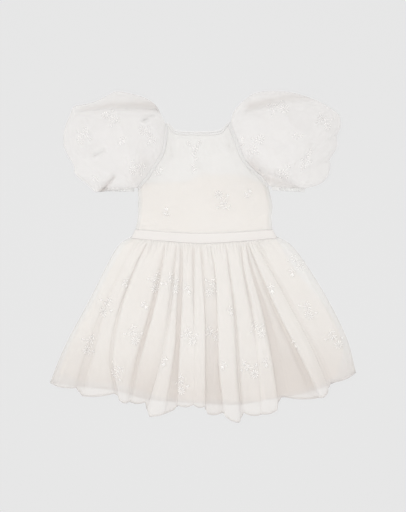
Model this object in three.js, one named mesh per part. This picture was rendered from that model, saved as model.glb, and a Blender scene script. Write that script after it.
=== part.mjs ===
// Girls' puff sleeve dress, laid flat on its back with the front up.
// Millimetres: X across the dress, Y from the hem up to the neck, Z up from the surface it lies on.
import * as THREE from 'three';

const { lerp, smoothstep } = THREE.MathUtils;

// Walls and gaps
const SHEER_WALL = 1.2;
const LINING_WALL = 1.0;
const LAYER_GAP = 0.3;
const SEAM_GAP = 0.8;
const ARMHOLE_GAP = 1;

// Undersides of the layers, from the surface up
const LINING_BACK_Z = SHEER_WALL + LAYER_GAP;
const LINING_FRONT_Z = LINING_BACK_Z + LINING_WALL + LAYER_GAP;
const FRONT_OVER_LINING_Z = LINING_FRONT_Z + LINING_WALL + SEAM_GAP;
const FRONT_AT_EDGE_Z = SHEER_WALL + LAYER_GAP;

// Bodice
const BODICE_DOME = 2.5;
const BODICE_EDGE_ROUND = 9;
const LINING_INSET = 12;
const LINING_TOP_Y = 170;
const YOKE_START = 0.62;
const YOKE_END = 0.85;
const BINDING_WIDTH = 4;
const BINDING_WALL = 1.2;

// Waistband
const BAND_WALL = 2;
const BAND_SEAM_SHARE = 0.04;

// Skirt
const SKIRT_EDGE_ROUND = 12;
const SKIRT_LINING_INSET = { left: 17, right: 28 };
const CREST_ROUNDNESS = 0.8;
const CREST_FULL_AT = 0.7;
const LIFT_FULL_AT = 0.3;
const GATHER_HEIGHT = 2.4;
const GATHERS_PER_FOLD = 2;
const GATHER_REACH = 0.42;
const CREST_AT_WAIST = 0.25;
const HEM_BELLY = 5;
const HEM_STEP_SHARE = 0.12;
const LINING_WAVE = 2;
const LINING_WAVES = 9;
const LINING_WAVE_START = 0.1;
const LINING_WAVE_FULL_AT = 0.6;
const LINING_SIDE_SHARE = 0.06;
const LINING_HEM_SHORTER = 8;

// Sleeves
const HEAD_GATHERS = { count: 9, from: 0.04, to: 0.34 };
const CUFF_GATHERS = { count: 7, from: 0.72, to: 0.97 };
const SLEEVE_GATHER_HEIGHT = 3;
const SLEEVE_PIVOT_RIM = 4;
const FLAT_UNDERSIDE_SWELL = 0.7;
const GATHERS_CLEAR_OF_SEAM = 0.06;
const CREASE_SWELL = { from: 0.1, to: 0.6 };
const CREASE_STARTS = { from: 0.03, to: 0.16 };
const CREASE_ENDS = { from: 0.85, to: 0.97 };
const CUFF_LENGTH = 7;
const CUFF_WALL = 1.6;

// How finely the cloth is divided
const FRONT_COLUMNS = 20;
const BACK_COLUMNS = 20;
const BODICE_ROWS = 15;
const LINING_ROWS = 6;
const BAND_COLUMNS = 28;
const BAND_ROWS = 2;
const COLUMNS_PER_FOLD = 8;
const SKIRT_ROWS = 9;
const HEM_COLUMNS = 42;
const SLEEVE_RINGS = 15;
const SLEEVE_AROUND = 36;

// Outlines, each a row for a point of the cut edge
const SIDE_LEFT = [
  { x: -150, y: 59 },
  { x: -144, y: 88 },
  { x: -143, y: 125 },
  { x: -144, y: 152 },
];
const SIDE_RIGHT = [
  { x: 154, y: 59 },
  { x: 151, y: 88 },
  { x: 153, y: 114 },
  { x: 144, y: 156 },
];
const ARMHOLE_LEFT = [
  { x: -144, y: 152 },
  { x: -122, y: 180 },
  { x: -100, y: 213 },
  { x: -89, y: 235 },
  { x: -84, y: 264 },
  { x: -82, y: 293 },
];
const ARMHOLE_RIGHT = [
  { x: 144, y: 156 },
  { x: 131, y: 174 },
  { x: 111, y: 191 },
  { x: 89, y: 218 },
  { x: 74, y: 257 },
  { x: 63, y: 284 },
  { x: 61, y: 297 },
];
const NECK_FRONT = [
  { x: -82, y: 293 },
  { x: -75, y: 290 },
  { x: -67, y: 277 },
  { x: -50, y: 271 },
  { x: 0, y: 270 },
  { x: 32, y: 272 },
  { x: 43, y: 277 },
  { x: 53, y: 289 },
  { x: 61, y: 297 },
];
const NECK_BACK = [
  { x: -82, y: 293 },
  { x: -75, y: 292 },
  { x: -65, y: 282 },
  { x: -50, y: 276 },
  { x: 0, y: 275 },
  { x: 32, y: 277 },
  { x: 43, y: 282 },
  { x: 53, y: 291 },
  { x: 61, y: 297 },
];
const WAIST_SEAM = [
  { x: -150, y: 59 },
  { x: 0, y: 51 },
  { x: 154, y: 59 },
];
const BAND_EDGE = [
  { x: -158, y: 42 },
  { x: 0, y: 31 },
  { x: 163, y: 42 },
];
const HEM_BACK = [
  { x: -339, y: -277 },
  { x: -270, y: -286 },
  { x: -188, y: -296 },
  { x: -116, y: -315 },
  { x: -6, y: -323 },
  { x: 85, y: -326 },
  { x: 148, y: -315 },
  { x: 215, y: -304 },
  { x: 270, y: -288 },
  { x: 338, y: -256 },
];

// The skirt front hangs in folds between valleys. Each row is a valley's X at six stations from the
// waist to the hem, from the left edge to the right edge.
const STATIONS = [0, 0.05, 0.17, 0.44, 0.75, 1];
const VALLEYS = [
  { waist: -158, top: -184, upper: -208, middle: -252, lower: -305, hem: -338 },
  { waist: -136, top: -153, upper: -168, middle: -208, lower: -243, hem: -278 },
  { waist: -111, top: -127, upper: -155, middle: -186, lower: -199, hem: -188 },
  { waist: -80, top: -83, upper: -91, middle: -111, lower: -140, hem: -162 },
  { waist: -58, top: -60, upper: -67, middle: -76, lower: -94, hem: -124 },
  { waist: -50, top: -51, upper: -52, middle: -55, lower: -62, hem: -72 },
  { waist: -23, top: -22, upper: -21, middle: -16, lower: -16, hem: -21 },
  { waist: -6, top: -4, upper: 1, middle: 10, lower: 12, hem: 7 },
  { waist: 21, top: 22, upper: 25, middle: 28, lower: 36, hem: 43 },
  { waist: 61, top: 62, upper: 65, middle: 76, lower: 84, hem: 85 },
  { waist: 85, top: 86, upper: 88, middle: 109, lower: 120, hem: 127 },
  { waist: 105, top: 107, upper: 113, middle: 133, lower: 153, hem: 166 },
  { waist: 118, top: 120, upper: 124, middle: 151, lower: 210, hem: 265 },
  { waist: 133, top: 147, upper: 162, middle: 208, lower: 243, hem: 276 },
  { waist: 163, top: 191, upper: 221, middle: 272, lower: 318, hem: 338 },
];

// The folds themselves: the height of the crest, and the hem's Y beside each valley
const FOLDS = [
  { crest: 9, hemLeft: -279, hemRight: -288 },
  { crest: 13, hemLeft: -306, hemRight: -299 },
  { crest: 15, hemLeft: -312, hemRight: -321 },
  { crest: 12, hemLeft: -319, hemRight: -319 },
  { crest: 15, hemLeft: -352, hemRight: -334 },
  { crest: 12, hemLeft: -326, hemRight: -326 },
  { crest: 13, hemLeft: -326, hemRight: -328 },
  { crest: 2, hemLeft: -345, hemRight: -342 },
  { crest: 16, hemLeft: -348, hemRight: -365 },
  { crest: 12, hemLeft: -341, hemRight: -348 },
  { crest: 16, hemLeft: -346, hemRight: -334 },
  { crest: 2, hemLeft: -306, hemRight: -311 },
  { crest: 17, hemLeft: -310, hemRight: -297 },
  { crest: 10, hemLeft: -278, hemRight: -256 },
];

// Sleeve outlines run from the shoulder point over the puff and down to the cuff's outer end
const SLEEVE_OUTLINE_LEFT = [
  { x: -83, y: 294 },
  { x: -95, y: 319 },
  { x: -108, y: 338 },
  { x: -135, y: 353 },
  { x: -186, y: 364 },
  { x: -208, y: 356 },
  { x: -234, y: 343 },
  { x: -262, y: 335 },
  { x: -283, y: 331 },
  { x: -292, y: 312 },
  { x: -305, y: 279 },
  { x: -305, y: 240 },
  { x: -285, y: 202 },
  { x: -280, y: 180 },
  { x: -252, y: 157 },
  { x: -237, y: 143 },
  { x: -223, y: 152 },
];
const SLEEVE_OUTLINE_RIGHT = [
  { x: 62, y: 298 },
  { x: 66, y: 318 },
  { x: 82, y: 337 },
  { x: 102, y: 354 },
  { x: 118, y: 362 },
  { x: 146, y: 365 },
  { x: 187, y: 363 },
  { x: 232, y: 351 },
  { x: 262, y: 338 },
  { x: 286, y: 323 },
  { x: 300, y: 310 },
  { x: 302, y: 285 },
  { x: 294, y: 266 },
  { x: 294, y: 241 },
  { x: 278, y: 213 },
  { x: 280, y: 205 },
  { x: 275, y: 178 },
  { x: 258, y: 161 },
  { x: 223, y: 150 },
];
const UNDERARM_LEFT = [
  { x: -145, y: 153 },
  { x: -153, y: 151 },
];
const UNDERARM_RIGHT = [
  { x: 145, y: 157 },
  { x: 153, y: 154 },
];
const CUFF_LINE_LEFT = [
  { x: -153, y: 151 },
  { x: -223, y: 152 },
];
const CUFF_LINE_RIGHT = [
  { x: 153, y: 154 },
  { x: 223, y: 150 },
];

// How high the puff stands along the sleeve, and how high its outer rim lies
const PUFF = [
  { along: 0, top: 3, rim: 1.5 },
  { along: 0.08, top: 17, rim: 7 },
  { along: 0.25, top: 40, rim: 15 },
  { along: 0.5, top: 52, rim: 20 },
  { along: 0.75, top: 45, rim: 17 },
  { along: 0.92, top: 26, rim: 11 },
  { along: 1, top: 15, rim: 7 },
];

// Main creases on the puffs, each a soft trough from one point to another
const CREASES_LEFT = [
  { fromX: -115, fromY: 322, toX: -205, toY: 338, depth: 7, reach: 13 },
  { fromX: -223, fromY: 150, toX: -196, toY: 178, depth: 8, reach: 12 },
  { fromX: -142, fromY: 296, toX: -118, toY: 306, depth: 5, reach: 10 },
  { fromX: -238, fromY: 238, toX: -222, toY: 222, depth: 4, reach: 10 },
  { fromX: -152, fromY: 176, toX: -168, toY: 214, depth: 6, reach: 11 },
];
const CREASES_RIGHT = [
  { fromX: 100, fromY: 322, toX: 258, toY: 341, depth: 7, reach: 13 },
  { fromX: 102, fromY: 312, toX: 126, toY: 308, depth: 8, reach: 10 },
  { fromX: 98, fromY: 212, toX: 158, toY: 182, depth: 8, reach: 11 },
  { fromX: 158, fromY: 182, toX: 204, toY: 156, depth: 8, reach: 11 },
  { fromX: 238, fromY: 246, toX: 222, toY: 214, depth: 4, reach: 10 },
];

// Colours
const SHEER_IVORY = 0xf2eee8;
const LINING_IVORY = 0xefe4d4;
const BAND_IVORY = 0xf3eee6;

const dress = new THREE.Group();

// A smooth curve through a table's points, read by its length
function edge(table) {
  const curve = new THREE.SplineCurve(table.map(({ x, y }) => new THREE.Vector2(x, y)));
  return (t) => curve.getPointAt(t);
}

// One curve after another: the first up to the share given, the second from there
function joined(first, second, share) {
  return (t) => (t < share ? first(t / share) : second((t - share) / (1 - share)));
}

// A patch stretched between four edges, as a flat pattern piece is between its seams
function patch(bottom, top, left, right) {
  const corners = [bottom(0), bottom(1), top(0), top(1)];
  return (u, v) => {
    const blend = (key) => {
      const upDown = lerp(bottom(u)[key], top(u)[key], v);
      const leftRight = lerp(left(v)[key], right(v)[key], u);
      const [bottomLeft, bottomRight, topLeft, topRight] = corners.map((corner) => corner[key]);
      return upDown + leftRight - lerp(lerp(bottomLeft, bottomRight, u), lerp(topLeft, topRight, u), v);
    };
    return { x: blend('x'), y: blend('y') };
  };
}

// A smooth value through unevenly spaced stations
function between(stations, values, t) {
  const last = stations.length - 1;
  const found = stations.findIndex((station, k) => k > 0 && t <= station);
  const high = found < 0 ? last : found;
  const low = high - 1;
  const slope = (k) => {
    const before = Math.max(k - 1, 0);
    const after = Math.min(k + 1, last);
    return (values[after] - values[before]) / (stations[after] - stations[before]);
  };
  const span = stations[high] - stations[low];
  const s = (t - stations[low]) / span;
  const start = values[low] * (1 + 2 * s) * (1 - s) ** 2 + slope(low) * span * s * (1 - s) ** 2;
  const end = values[high] * s ** 2 * (3 - 2 * s) - slope(high) * span * s ** 2 * (1 - s);
  return start + end;
}

// Rises as a quarter circle from 0 at an edge to 1 where the edge's round ends
function rounded(distance, reach) {
  const left = 1 - Math.min(Math.max(distance / reach, 0), 1);
  return Math.sqrt(1 - left ** 2);
}

// Two faces on one grid, closed along their free edges into one solid
function shell(name, colour, columns, rows, outer, inner, wrapped = false) {
  const across = wrapped ? columns : columns + 1;
  const points = [];
  for (const face of [outer, inner]) {
    for (let row = 0; row <= rows; row += 1) {
      for (let column = 0; column < across; column += 1) {
        const { x, y, z } = face(column / columns, row / rows);
        points.push(x, y, z);
      }
    }
  }
  const at = (side, column, row) => (side * (rows + 1) + row) * across + (column % across);
  const triangles = [];
  const quad = (a, b, c, d) => triangles.push(a, b, c, a, c, d);
  for (let row = 0; row < rows; row += 1) {
    for (let column = 0; column < columns; column += 1) {
      const right = column + 1;
      const next = row + 1;
      quad(at(0, column, row), at(0, right, row), at(0, right, next), at(0, column, next));
      quad(at(1, column, row), at(1, column, next), at(1, right, next), at(1, right, row));
    }
  }
  for (let column = 0; column < columns; column += 1) {
    const right = column + 1;
    quad(at(0, column, 0), at(1, column, 0), at(1, right, 0), at(0, right, 0));
    quad(at(0, column, rows), at(0, right, rows), at(1, right, rows), at(1, column, rows));
  }
  for (let row = 0; row < rows && !wrapped; row += 1) {
    const next = row + 1;
    quad(at(0, 0, row), at(0, 0, next), at(1, 0, next), at(1, 0, row));
    quad(at(0, columns, row), at(1, columns, row), at(1, columns, next), at(0, columns, next));
  }
  const geometry = new THREE.BufferGeometry();
  geometry.setAttribute('position', new THREE.Float32BufferAttribute(points, 3));
  geometry.setIndex(facingOut(points, triangles));
  geometry.computeVertexNormals();
  addPiece(name, colour, geometry);
}

function addPiece(name, colour, geometry) {
  const material = new THREE.MeshStandardMaterial({ color: colour, roughness: 0.85, metalness: 0 });
  const mesh = new THREE.Mesh(geometry, material);
  mesh.name = name;
  dress.add(mesh);
}

// A panel that lies flat: its cut outline, as thick as its cloth, at a height
function flatPanel(name, colour, flat, columns, rows, height, thickness) {
  const outline = [];
  for (let column = 0; column < columns; column += 1) outline.push(flat(column / columns, 0));
  for (let row = 0; row < rows; row += 1) outline.push(flat(1, row / rows));
  for (let column = columns; column > 0; column -= 1) outline.push(flat(column / columns, 1));
  for (let row = rows; row > 0; row -= 1) outline.push(flat(0, row / rows));
  const shape = new THREE.Shape(outline.map(({ x, y }) => new THREE.Vector2(x, y)));
  const geometry = new THREE.ExtrudeGeometry(shape, { depth: thickness, bevelEnabled: false });
  geometry.translate(0, 0, height);
  addPiece(name, colour, geometry);
}

// The triangles as they are, or all turned over where they enclose a negative volume
function facingOut(points, triangles) {
  const corner = (index) => new THREE.Vector3().fromArray(points, index * 3);
  let volume = 0;
  for (let k = 0; k < triangles.length; k += 3) {
    const [a, b, c] = [0, 1, 2].map((step) => corner(triangles[k + step]));
    volume += a.dot(b.cross(c));
  }
  return volume > 0 ? triangles : triangles.reverse();
}

// A wall over an underside, its outer face moved out square to the cloth
function wall(name, colour, columns, rows, underside, thickness) {
  const STEP = 0.002;
  const moved = (u, v) => {
    const point = (a, b) => {
      const { x, y, z } = underside(a, b);
      return new THREE.Vector3(x, y, z);
    };
    const acrossStep = point(Math.min(u + STEP, 1), v).sub(point(Math.max(u - STEP, 0), v));
    const alongStep = point(u, Math.min(v + STEP, 1)).sub(point(u, Math.max(v - STEP, 0)));
    const normal = acrossStep.cross(alongStep);
    if (u === 0 || u === 1) normal.set(0, 0, normal.z);
    if (v === 0 || v === 1) normal.y = 0;
    normal.multiplyScalar(Math.sign(normal.z)).normalize();
    return point(u, v).addScaledVector(normal, thickness);
  };
  shell(name, colour, columns, rows, moved, underside);
}

// A flat pattern piece lifted to a height
function lifted(flat, height) {
  return (u, v) => {
    const { x, y } = flat(u, v);
    return { x, y, z: height(u, v, x, y) };
  };
}

// Bodice
const UNDERARM_SHARE = 0.4;
const waistSeam = edge(WAIST_SEAM);
const bandEdge = edge(BAND_EDGE);
const bodiceLeft = joined(edge(SIDE_LEFT), edge(ARMHOLE_LEFT), UNDERARM_SHARE);
const bodiceRight = joined(edge(SIDE_RIGHT), edge(ARMHOLE_RIGHT), UNDERARM_SHARE);
const bodiceFront = patch(waistSeam, edge(NECK_FRONT), bodiceLeft, bodiceRight);
const bodiceBack = patch(waistSeam, edge(NECK_BACK), bodiceLeft, bodiceRight);

// The front lies on the lining below the chest and on the back panel at its edges
function bodiceRise(u, v) {
  const fromSide = Math.min(u, 1 - u) * (SIDE_RIGHT[0].x - SIDE_LEFT[0].x);
  const overLining = FRONT_OVER_LINING_Z - FRONT_AT_EDGE_Z;
  const dome = BODICE_DOME * Math.sin(Math.PI * Math.min(u, 1 - u)) * (1 - v);
  const yoke = 1 - smoothstep(v, YOKE_START, YOKE_END);
  return FRONT_AT_EDGE_Z + rounded(fromSide, BODICE_EDGE_ROUND) * (overLining + dome) * yoke;
}

function makeBodice() {
  wall('bodice_front', SHEER_IVORY, FRONT_COLUMNS, BODICE_ROWS, lifted(bodiceFront, bodiceRise), SHEER_WALL);
  flatPanel('bodice_back', SHEER_IVORY, bodiceBack, BACK_COLUMNS, BODICE_ROWS, 0, SHEER_WALL);
}

// An edge moved sideways
function shifted(line, distance) {
  return (t) => {
    const { x, y } = line(t);
    return { x: x + distance(t), y };
  };
}

// The lining keeps clear of the side seams and ends in a low arch over the chest
function makeBodiceLining() {
  const left = shifted(edge(SIDE_LEFT), () => LINING_INSET);
  const right = shifted(edge(SIDE_RIGHT), () => -LINING_INSET);
  const bottom = shifted(waistSeam, (t) => lerp(LINING_INSET, -LINING_INSET, t));
  const top = (t) => {
    const rise = (LINING_TOP_Y - left(1).y) * Math.sin(Math.PI * t);
    return { x: lerp(left(1).x, right(1).x, t), y: lerp(left(1).y, right(1).y, t) + rise };
  };
  const flat = patch(bottom, top, left, right);
  const place = [flat, FRONT_COLUMNS, LINING_ROWS];
  flatPanel('bodice_lining_front', LINING_IVORY, ...place, LINING_FRONT_Z, LINING_WALL);
  flatPanel('bodice_lining_back', LINING_IVORY, ...place, LINING_BACK_Z, LINING_WALL);
}

// A narrow strip beside the neck edge, on its open side, on the panel's own columns
function makeNeckBinding(name, table, height, columns) {
  const neck = edge(table);
  const STEP = 0.01;
  const strip = (u, v) => {
    const t = lerp(1, columns - 1, u) / columns;
    const before = neck(t - STEP);
    const after = neck(t + STEP);
    const length = Math.hypot(after.x - before.x, after.y - before.y);
    const out = LAYER_GAP + v * BINDING_WIDTH;
    const { x, y } = neck(t);
    return {
      x: x - ((after.y - before.y) / length) * out,
      y: y + ((after.x - before.x) / length) * out,
      z: height,
    };
  };
  const raised = (u, v) => ({ ...strip(u, v), z: height + BINDING_WALL });
  shell(name, BAND_IVORY, columns - 2, 1, raised, strip);
}

// Waistband, two strips between the bodice and the skirt
function makeWaistband() {
  const strip = (u, v) => {
    const high = waistSeam(u);
    const low = bandEdge(u);
    const share = lerp(BAND_SEAM_SHARE, 1 - BAND_SEAM_SHARE, v);
    return { x: lerp(high.x, low.x, share), y: lerp(high.y, low.y, share) };
  };
  const frontHeight = (u) => {
    const fromSide = Math.min(u, 1 - u) * (BAND_EDGE[2].x - BAND_EDGE[0].x);
    return FRONT_AT_EDGE_Z + rounded(fromSide, BODICE_EDGE_ROUND) * (FRONT_OVER_LINING_Z - FRONT_AT_EDGE_Z);
  };
  wall('waistband_front', BAND_IVORY, BAND_COLUMNS, BAND_ROWS, lifted(strip, frontHeight), BAND_WALL);
  flatPanel('waistband_back', BAND_IVORY, strip, BAND_COLUMNS, 1, 0, SHEER_WALL);
}

// Skirt
const foldCount = FOLDS.length;
const hemBack = edge(HEM_BACK);

function valleyX(index, v) {
  const { waist, top, upper, middle, lower, hem } = VALLEYS[index];
  return between(STATIONS, [waist, top, upper, middle, lower, hem], v);
}

// The fold that a column lies in, and how far across the fold it is
function foldAt(u) {
  const ROUNDING = 1e-9;
  const fold = Math.min(Math.floor(u * foldCount + ROUNDING), foldCount - 1);
  return { fold, across: Math.max(u * foldCount - fold, 0) };
}

function skirtX(u, v) {
  const { fold, across } = foldAt(u);
  return lerp(valleyX(fold, v), valleyX(fold + 1, v), across);
}

function waistY(x) {
  const share = (x - BAND_EDGE[0].x) / (BAND_EDGE[2].x - BAND_EDGE[0].x);
  return bandEdge(Math.min(Math.max(share, 0), 1)).y - SEAM_GAP;
}

// Each fold's hem hangs at its own height; at a valley the two neighbours meet half way
function frontHemY(u) {
  const { fold, across } = foldAt(u);
  const { hemLeft, hemRight } = FOLDS[fold];
  const own = lerp(hemLeft, hemRight, across) - HEM_BELLY * Math.sin(Math.PI * across);
  const valley = across < 0.5 ? valleyHemY(fold) : valleyHemY(fold + 1);
  const clear = Math.min(Math.min(across, 1 - across) / HEM_STEP_SHARE, 1);
  return lerp(valley, own, clear);
}

function valleyHemY(index) {
  const before = FOLDS[Math.max(index - 1, 0)];
  const after = FOLDS[Math.min(index, foldCount - 1)];
  if (index === 0) return after.hemLeft;
  if (index === foldCount) return before.hemRight;
  return (before.hemRight + after.hemLeft) / 2;
}

// A row starts at the band and fans out to the hem
function skirtY(u, v, hemY) {
  const top = waistY(skirtX(u, 0));
  return lerp(top, hemY, v);
}

function skirtFrontRise(u, v) {
  const { fold, across } = foldAt(u);
  const x = skirtX(u, v);
  const fromSide = Math.min(x - valleyX(0, v), valleyX(foldCount, v) - x);
  const crest = FOLDS[fold].crest * lerp(CREST_AT_WAIST, 1, smoothstep(v, 0, CREST_FULL_AT));
  const hump = Math.sin(Math.PI * across) ** CREST_ROUNDNESS;
  const gather = 0.5 - 0.5 * Math.cos(2 * Math.PI * GATHERS_PER_FOLD * across);
  const gathers = GATHER_HEIGHT * gather * (1 - smoothstep(v, 0, GATHER_REACH));
  const lift = LINING_WAVE * smoothstep(v, 0, LIFT_FULL_AT);
  const full = FRONT_OVER_LINING_Z + lift + crest * hump + gathers;
  return lerp(FRONT_AT_EDGE_Z, full, rounded(fromSide, SKIRT_EDGE_ROUND));
}

function makeSkirt() {
  const front = (u, v) => ({
    x: skirtX(u, v),
    y: skirtY(u, v, frontHemY(u)),
    z: skirtFrontRise(u, v),
  });
  wall('skirt_front', SHEER_IVORY, foldCount * COLUMNS_PER_FOLD, SKIRT_ROWS, front, SHEER_WALL);
  const back = (u, v) => ({
    x: lerp(valleyX(0, v), valleyX(foldCount, v), u),
    y: lerp(waistY(lerp(valleyX(0, 0), valleyX(foldCount, 0), u)), hemBack(u).y, v),
  });
  flatPanel('skirt_back', SHEER_IVORY, back, HEM_COLUMNS, SKIRT_ROWS, 0, SHEER_WALL);
}

// The lining is shorter than the sheer cloth and lies inside its side folds
function makeSkirtLining() {
  const flat = (u, v) => {
    const inset = lerp(SKIRT_LINING_INSET.left, -SKIRT_LINING_INSET.right, u);
    const left = valleyX(0, 0);
    const right = valleyX(foldCount, 0);
    return {
      x: lerp(valleyX(0, v), valleyX(foldCount, v), u) + inset,
      y: lerp(waistY(lerp(left, right, u)), hemBack(u).y + LINING_HEM_SHORTER, v),
    };
  };
  const wave = (u, v) => {
    const ripple = 0.5 - 0.5 * Math.cos(2 * Math.PI * LINING_WAVES * u);
    const down = smoothstep(v, LINING_WAVE_START, LINING_WAVE_FULL_AT);
    const inside = rounded(Math.min(u, 1 - u), LINING_SIDE_SHARE);
    return LINING_FRONT_Z + LINING_WAVE * ripple * down * inside;
  };
  wall('skirt_lining_front', LINING_IVORY, HEM_COLUMNS, SKIRT_ROWS, lifted(flat, wave), LINING_WALL);
  flatPanel('skirt_lining_back', LINING_IVORY, flat, HEM_COLUMNS, SKIRT_ROWS, LINING_BACK_Z, LINING_WALL);
}

// Sleeves: a ring goes from the underarm seam over the top to the puff's rim, and back below it
function ringAt(angle) {
  return { across: 0.5 - 0.5 * Math.cos(angle), swell: Math.abs(Math.sin(angle)), above: angle < Math.PI };
}

function nearCrease(crease, x, y) {
  const alongX = crease.toX - crease.fromX;
  const alongY = crease.toY - crease.fromY;
  const share = ((x - crease.fromX) * alongX + (y - crease.fromY) * alongY) / (alongX ** 2 + alongY ** 2);
  const nearest = Math.min(Math.max(share, 0), 1);
  const away = Math.hypot(x - crease.fromX - nearest * alongX, y - crease.fromY - nearest * alongY);
  return crease.depth * Math.exp(-((away / crease.reach) ** 2));
}

// Grows smoothly from 0 to 1 over a named stretch
function eased(value, { from, to }) {
  return smoothstep(value, from, to);
}

function puffSection(s) {
  const stations = PUFF.map(({ along }) => along);
  const top = between(stations, PUFF.map((row) => row.top), s);
  const rim = between(stations, PUFF.map((row) => row.rim), s);
  return { top, rim };
}

function sleeveFace(flat, creases, thickness) {
  return (u, s) => {
    const { across, swell, above } = ringAt(2 * Math.PI * u);
    const start = flat(0, s);
    const end = flat(1, s);
    const width = Math.hypot(end.x - start.x, end.y - start.y);
    const margin = thickness / width;
    const { x, y } = flat(lerp(margin, 1 - margin, across), s);
    const { top, rim } = puffSection(s);
    const rimHere = lerp(Math.min(rim, SLEEVE_PIVOT_RIM), rim, across);
    if (!above) {
      const clear = Math.max(1 - swell / FLAT_UNDERSIDE_SWELL, 0) ** 2;
      return { x, y, z: lerp(thickness, Math.max(rimHere, thickness), clear) };
    }
    const wave = ({ count }) => Math.cos(2 * Math.PI * count * across);
    const headWave = wave(HEAD_GATHERS) * (1 - eased(s, HEAD_GATHERS));
    const cuffWave = wave(CUFF_GATHERS) * eased(s, CUFF_GATHERS);
    const offSeam = smoothstep(s, 0, GATHERS_CLEAR_OF_SEAM);
    const gather = (SLEEVE_GATHER_HEIGHT * (1 - headWave - cuffWave) * swell * offSeam) / 2;
    const creased = eased(swell, CREASE_SWELL) * eased(s, CREASE_STARTS) * (1 - eased(s, CREASE_ENDS));
    const crease = creased * creases.reduce((sum, row) => sum + nearCrease(row, x, y), 0);
    const height = rimHere + (top - rimHere) * swell + gather - crease - thickness * swell;
    return { x, y, z: height };
  };
}

function makeSleeve(side, outline, armhole, underarm, cuffLine, creases) {
  const outward = Math.sign(outline[1].x);
  const seam = edge(armhole);
  const armholeSeam = (t) => {
    const { x, y } = seam(t);
    return { x: x + outward * ARMHOLE_GAP, y: y + ARMHOLE_GAP };
  };
  const flat = patch(armholeSeam, edge(cuffLine), edge(underarm), edge(outline));
  const outer = sleeveFace(flat, creases, 0);
  const inner = sleeveFace(flat, creases, SHEER_WALL);
  shell(`sleeve_${side}`, SHEER_IVORY, SLEEVE_AROUND, SLEEVE_RINGS, outer, inner, true);
  const cuff = (thickness) => (u, t) => {
    const { x, y, z } = sleeveFace(flat, creases, thickness)(u, 1);
    return { x, y: y - LAYER_GAP - t * CUFF_LENGTH, z };
  };
  shell(`cuff_${side}`, BAND_IVORY, SLEEVE_AROUND, 1, cuff(0), cuff(CUFF_WALL), true);
}

makeBodice();
makeBodiceLining();
makeNeckBinding('neck_binding_front', NECK_FRONT, FRONT_AT_EDGE_Z, FRONT_COLUMNS);
makeNeckBinding('neck_binding_back', NECK_BACK, 0, BACK_COLUMNS);
makeWaistband();
makeSkirt();
makeSkirtLining();
makeSleeve('left', SLEEVE_OUTLINE_LEFT, ARMHOLE_LEFT, UNDERARM_LEFT, CUFF_LINE_LEFT, CREASES_LEFT);
makeSleeve('right', SLEEVE_OUTLINE_RIGHT, ARMHOLE_RIGHT, UNDERARM_RIGHT, CUFF_LINE_RIGHT, CREASES_RIGHT);

const extent = new THREE.Box3().setFromObject(dress);
const middle = extent.getCenter(new THREE.Vector3());
dress.position.set(-middle.x, -middle.y, -extent.min.z);

export default dress;
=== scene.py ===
import math

import bpy
import numpy as np
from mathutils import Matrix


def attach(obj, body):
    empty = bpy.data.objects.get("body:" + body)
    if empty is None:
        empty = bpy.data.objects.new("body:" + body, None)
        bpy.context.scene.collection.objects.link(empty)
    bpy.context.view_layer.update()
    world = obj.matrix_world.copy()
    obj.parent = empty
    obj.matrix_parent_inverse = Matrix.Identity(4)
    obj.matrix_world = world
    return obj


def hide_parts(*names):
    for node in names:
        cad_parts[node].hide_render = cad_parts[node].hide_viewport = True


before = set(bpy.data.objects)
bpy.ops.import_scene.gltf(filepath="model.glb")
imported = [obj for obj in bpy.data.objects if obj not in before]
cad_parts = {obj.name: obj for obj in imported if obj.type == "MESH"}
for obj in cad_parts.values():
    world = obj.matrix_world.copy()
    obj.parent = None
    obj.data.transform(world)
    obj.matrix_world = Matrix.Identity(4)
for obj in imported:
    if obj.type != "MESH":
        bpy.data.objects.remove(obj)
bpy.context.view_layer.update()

# A girls' puff sleeve dress laid flat on its back, front up. Lengths are in millimetres until a
# mesh is made: X across the dress, Y from the hem up to the neck, Z up from the floor.
MM = 0.001
# Puts the middle of the outline below at the origin
CENTRING = np.array([0.0, -0.2, 0.0])

# Cloth thicknesses as drawn
SHEER = 0.5
LINING = 0.5
BAND_FRONT = 1.1
BAND_BACK = 1.0
CASING = 0.9
BINDING = 0.7
SEAM = 0.5
TURNED = 0.4

# Heights of the layers, as the solids have them
BACK_Z = 0.45
LINING_BACK_Z = 2.3
LINING_FRONT_Z = 3.2
FRONT_Z = 4.9
EDGE_Z = 1.5
BAND_BACK_Z = 0.75

# Outlines of the cut pieces, X and Y
SIDE_LEFT = np.array([(-150, 59), (-144, 88), (-143, 125), (-144, 152)])
SIDE_RIGHT = np.array([(154, 59), (151, 88), (153, 114), (144, 156)])
ARMHOLE_LEFT = np.array([(-144, 152), (-122, 180), (-100, 213), (-89, 235), (-84, 264), (-82, 293)])
ARMHOLE_RIGHT = np.array([(144, 156), (131, 174), (111, 191), (89, 218), (74, 257), (63, 284),
                          (61, 297)])
NECK_FRONT = np.array([(-82, 293), (-75, 290), (-67, 277), (-50, 271), (0, 270), (32, 272),
                       (43, 277), (53, 289), (61, 297)])
NECK_BACK = np.array([(-82, 293), (-75, 292), (-65, 282), (-50, 276), (0, 275), (32, 277),
                      (43, 282), (53, 291), (61, 297)])
WAIST_SEAM = np.array([(-150, 59), (0, 51), (154, 59)])
BAND_EDGE = np.array([(-158, 42), (0, 31), (163, 42)])
HEM_BACK = np.array([(-339, -277), (-270, -286), (-188, -296), (-116, -315), (-6, -323), (85, -326),
                     (148, -315), (215, -304), (270, -288), (338, -256)])
SLEEVE_OUTLINE_LEFT = np.array([(-83, 294), (-95, 319), (-108, 338), (-135, 353), (-186, 364),
                                (-208, 356), (-234, 343), (-262, 335), (-283, 331), (-292, 312),
                                (-305, 279), (-305, 240), (-285, 202), (-280, 180), (-252, 157),
                                (-237, 143), (-223, 152)])
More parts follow.
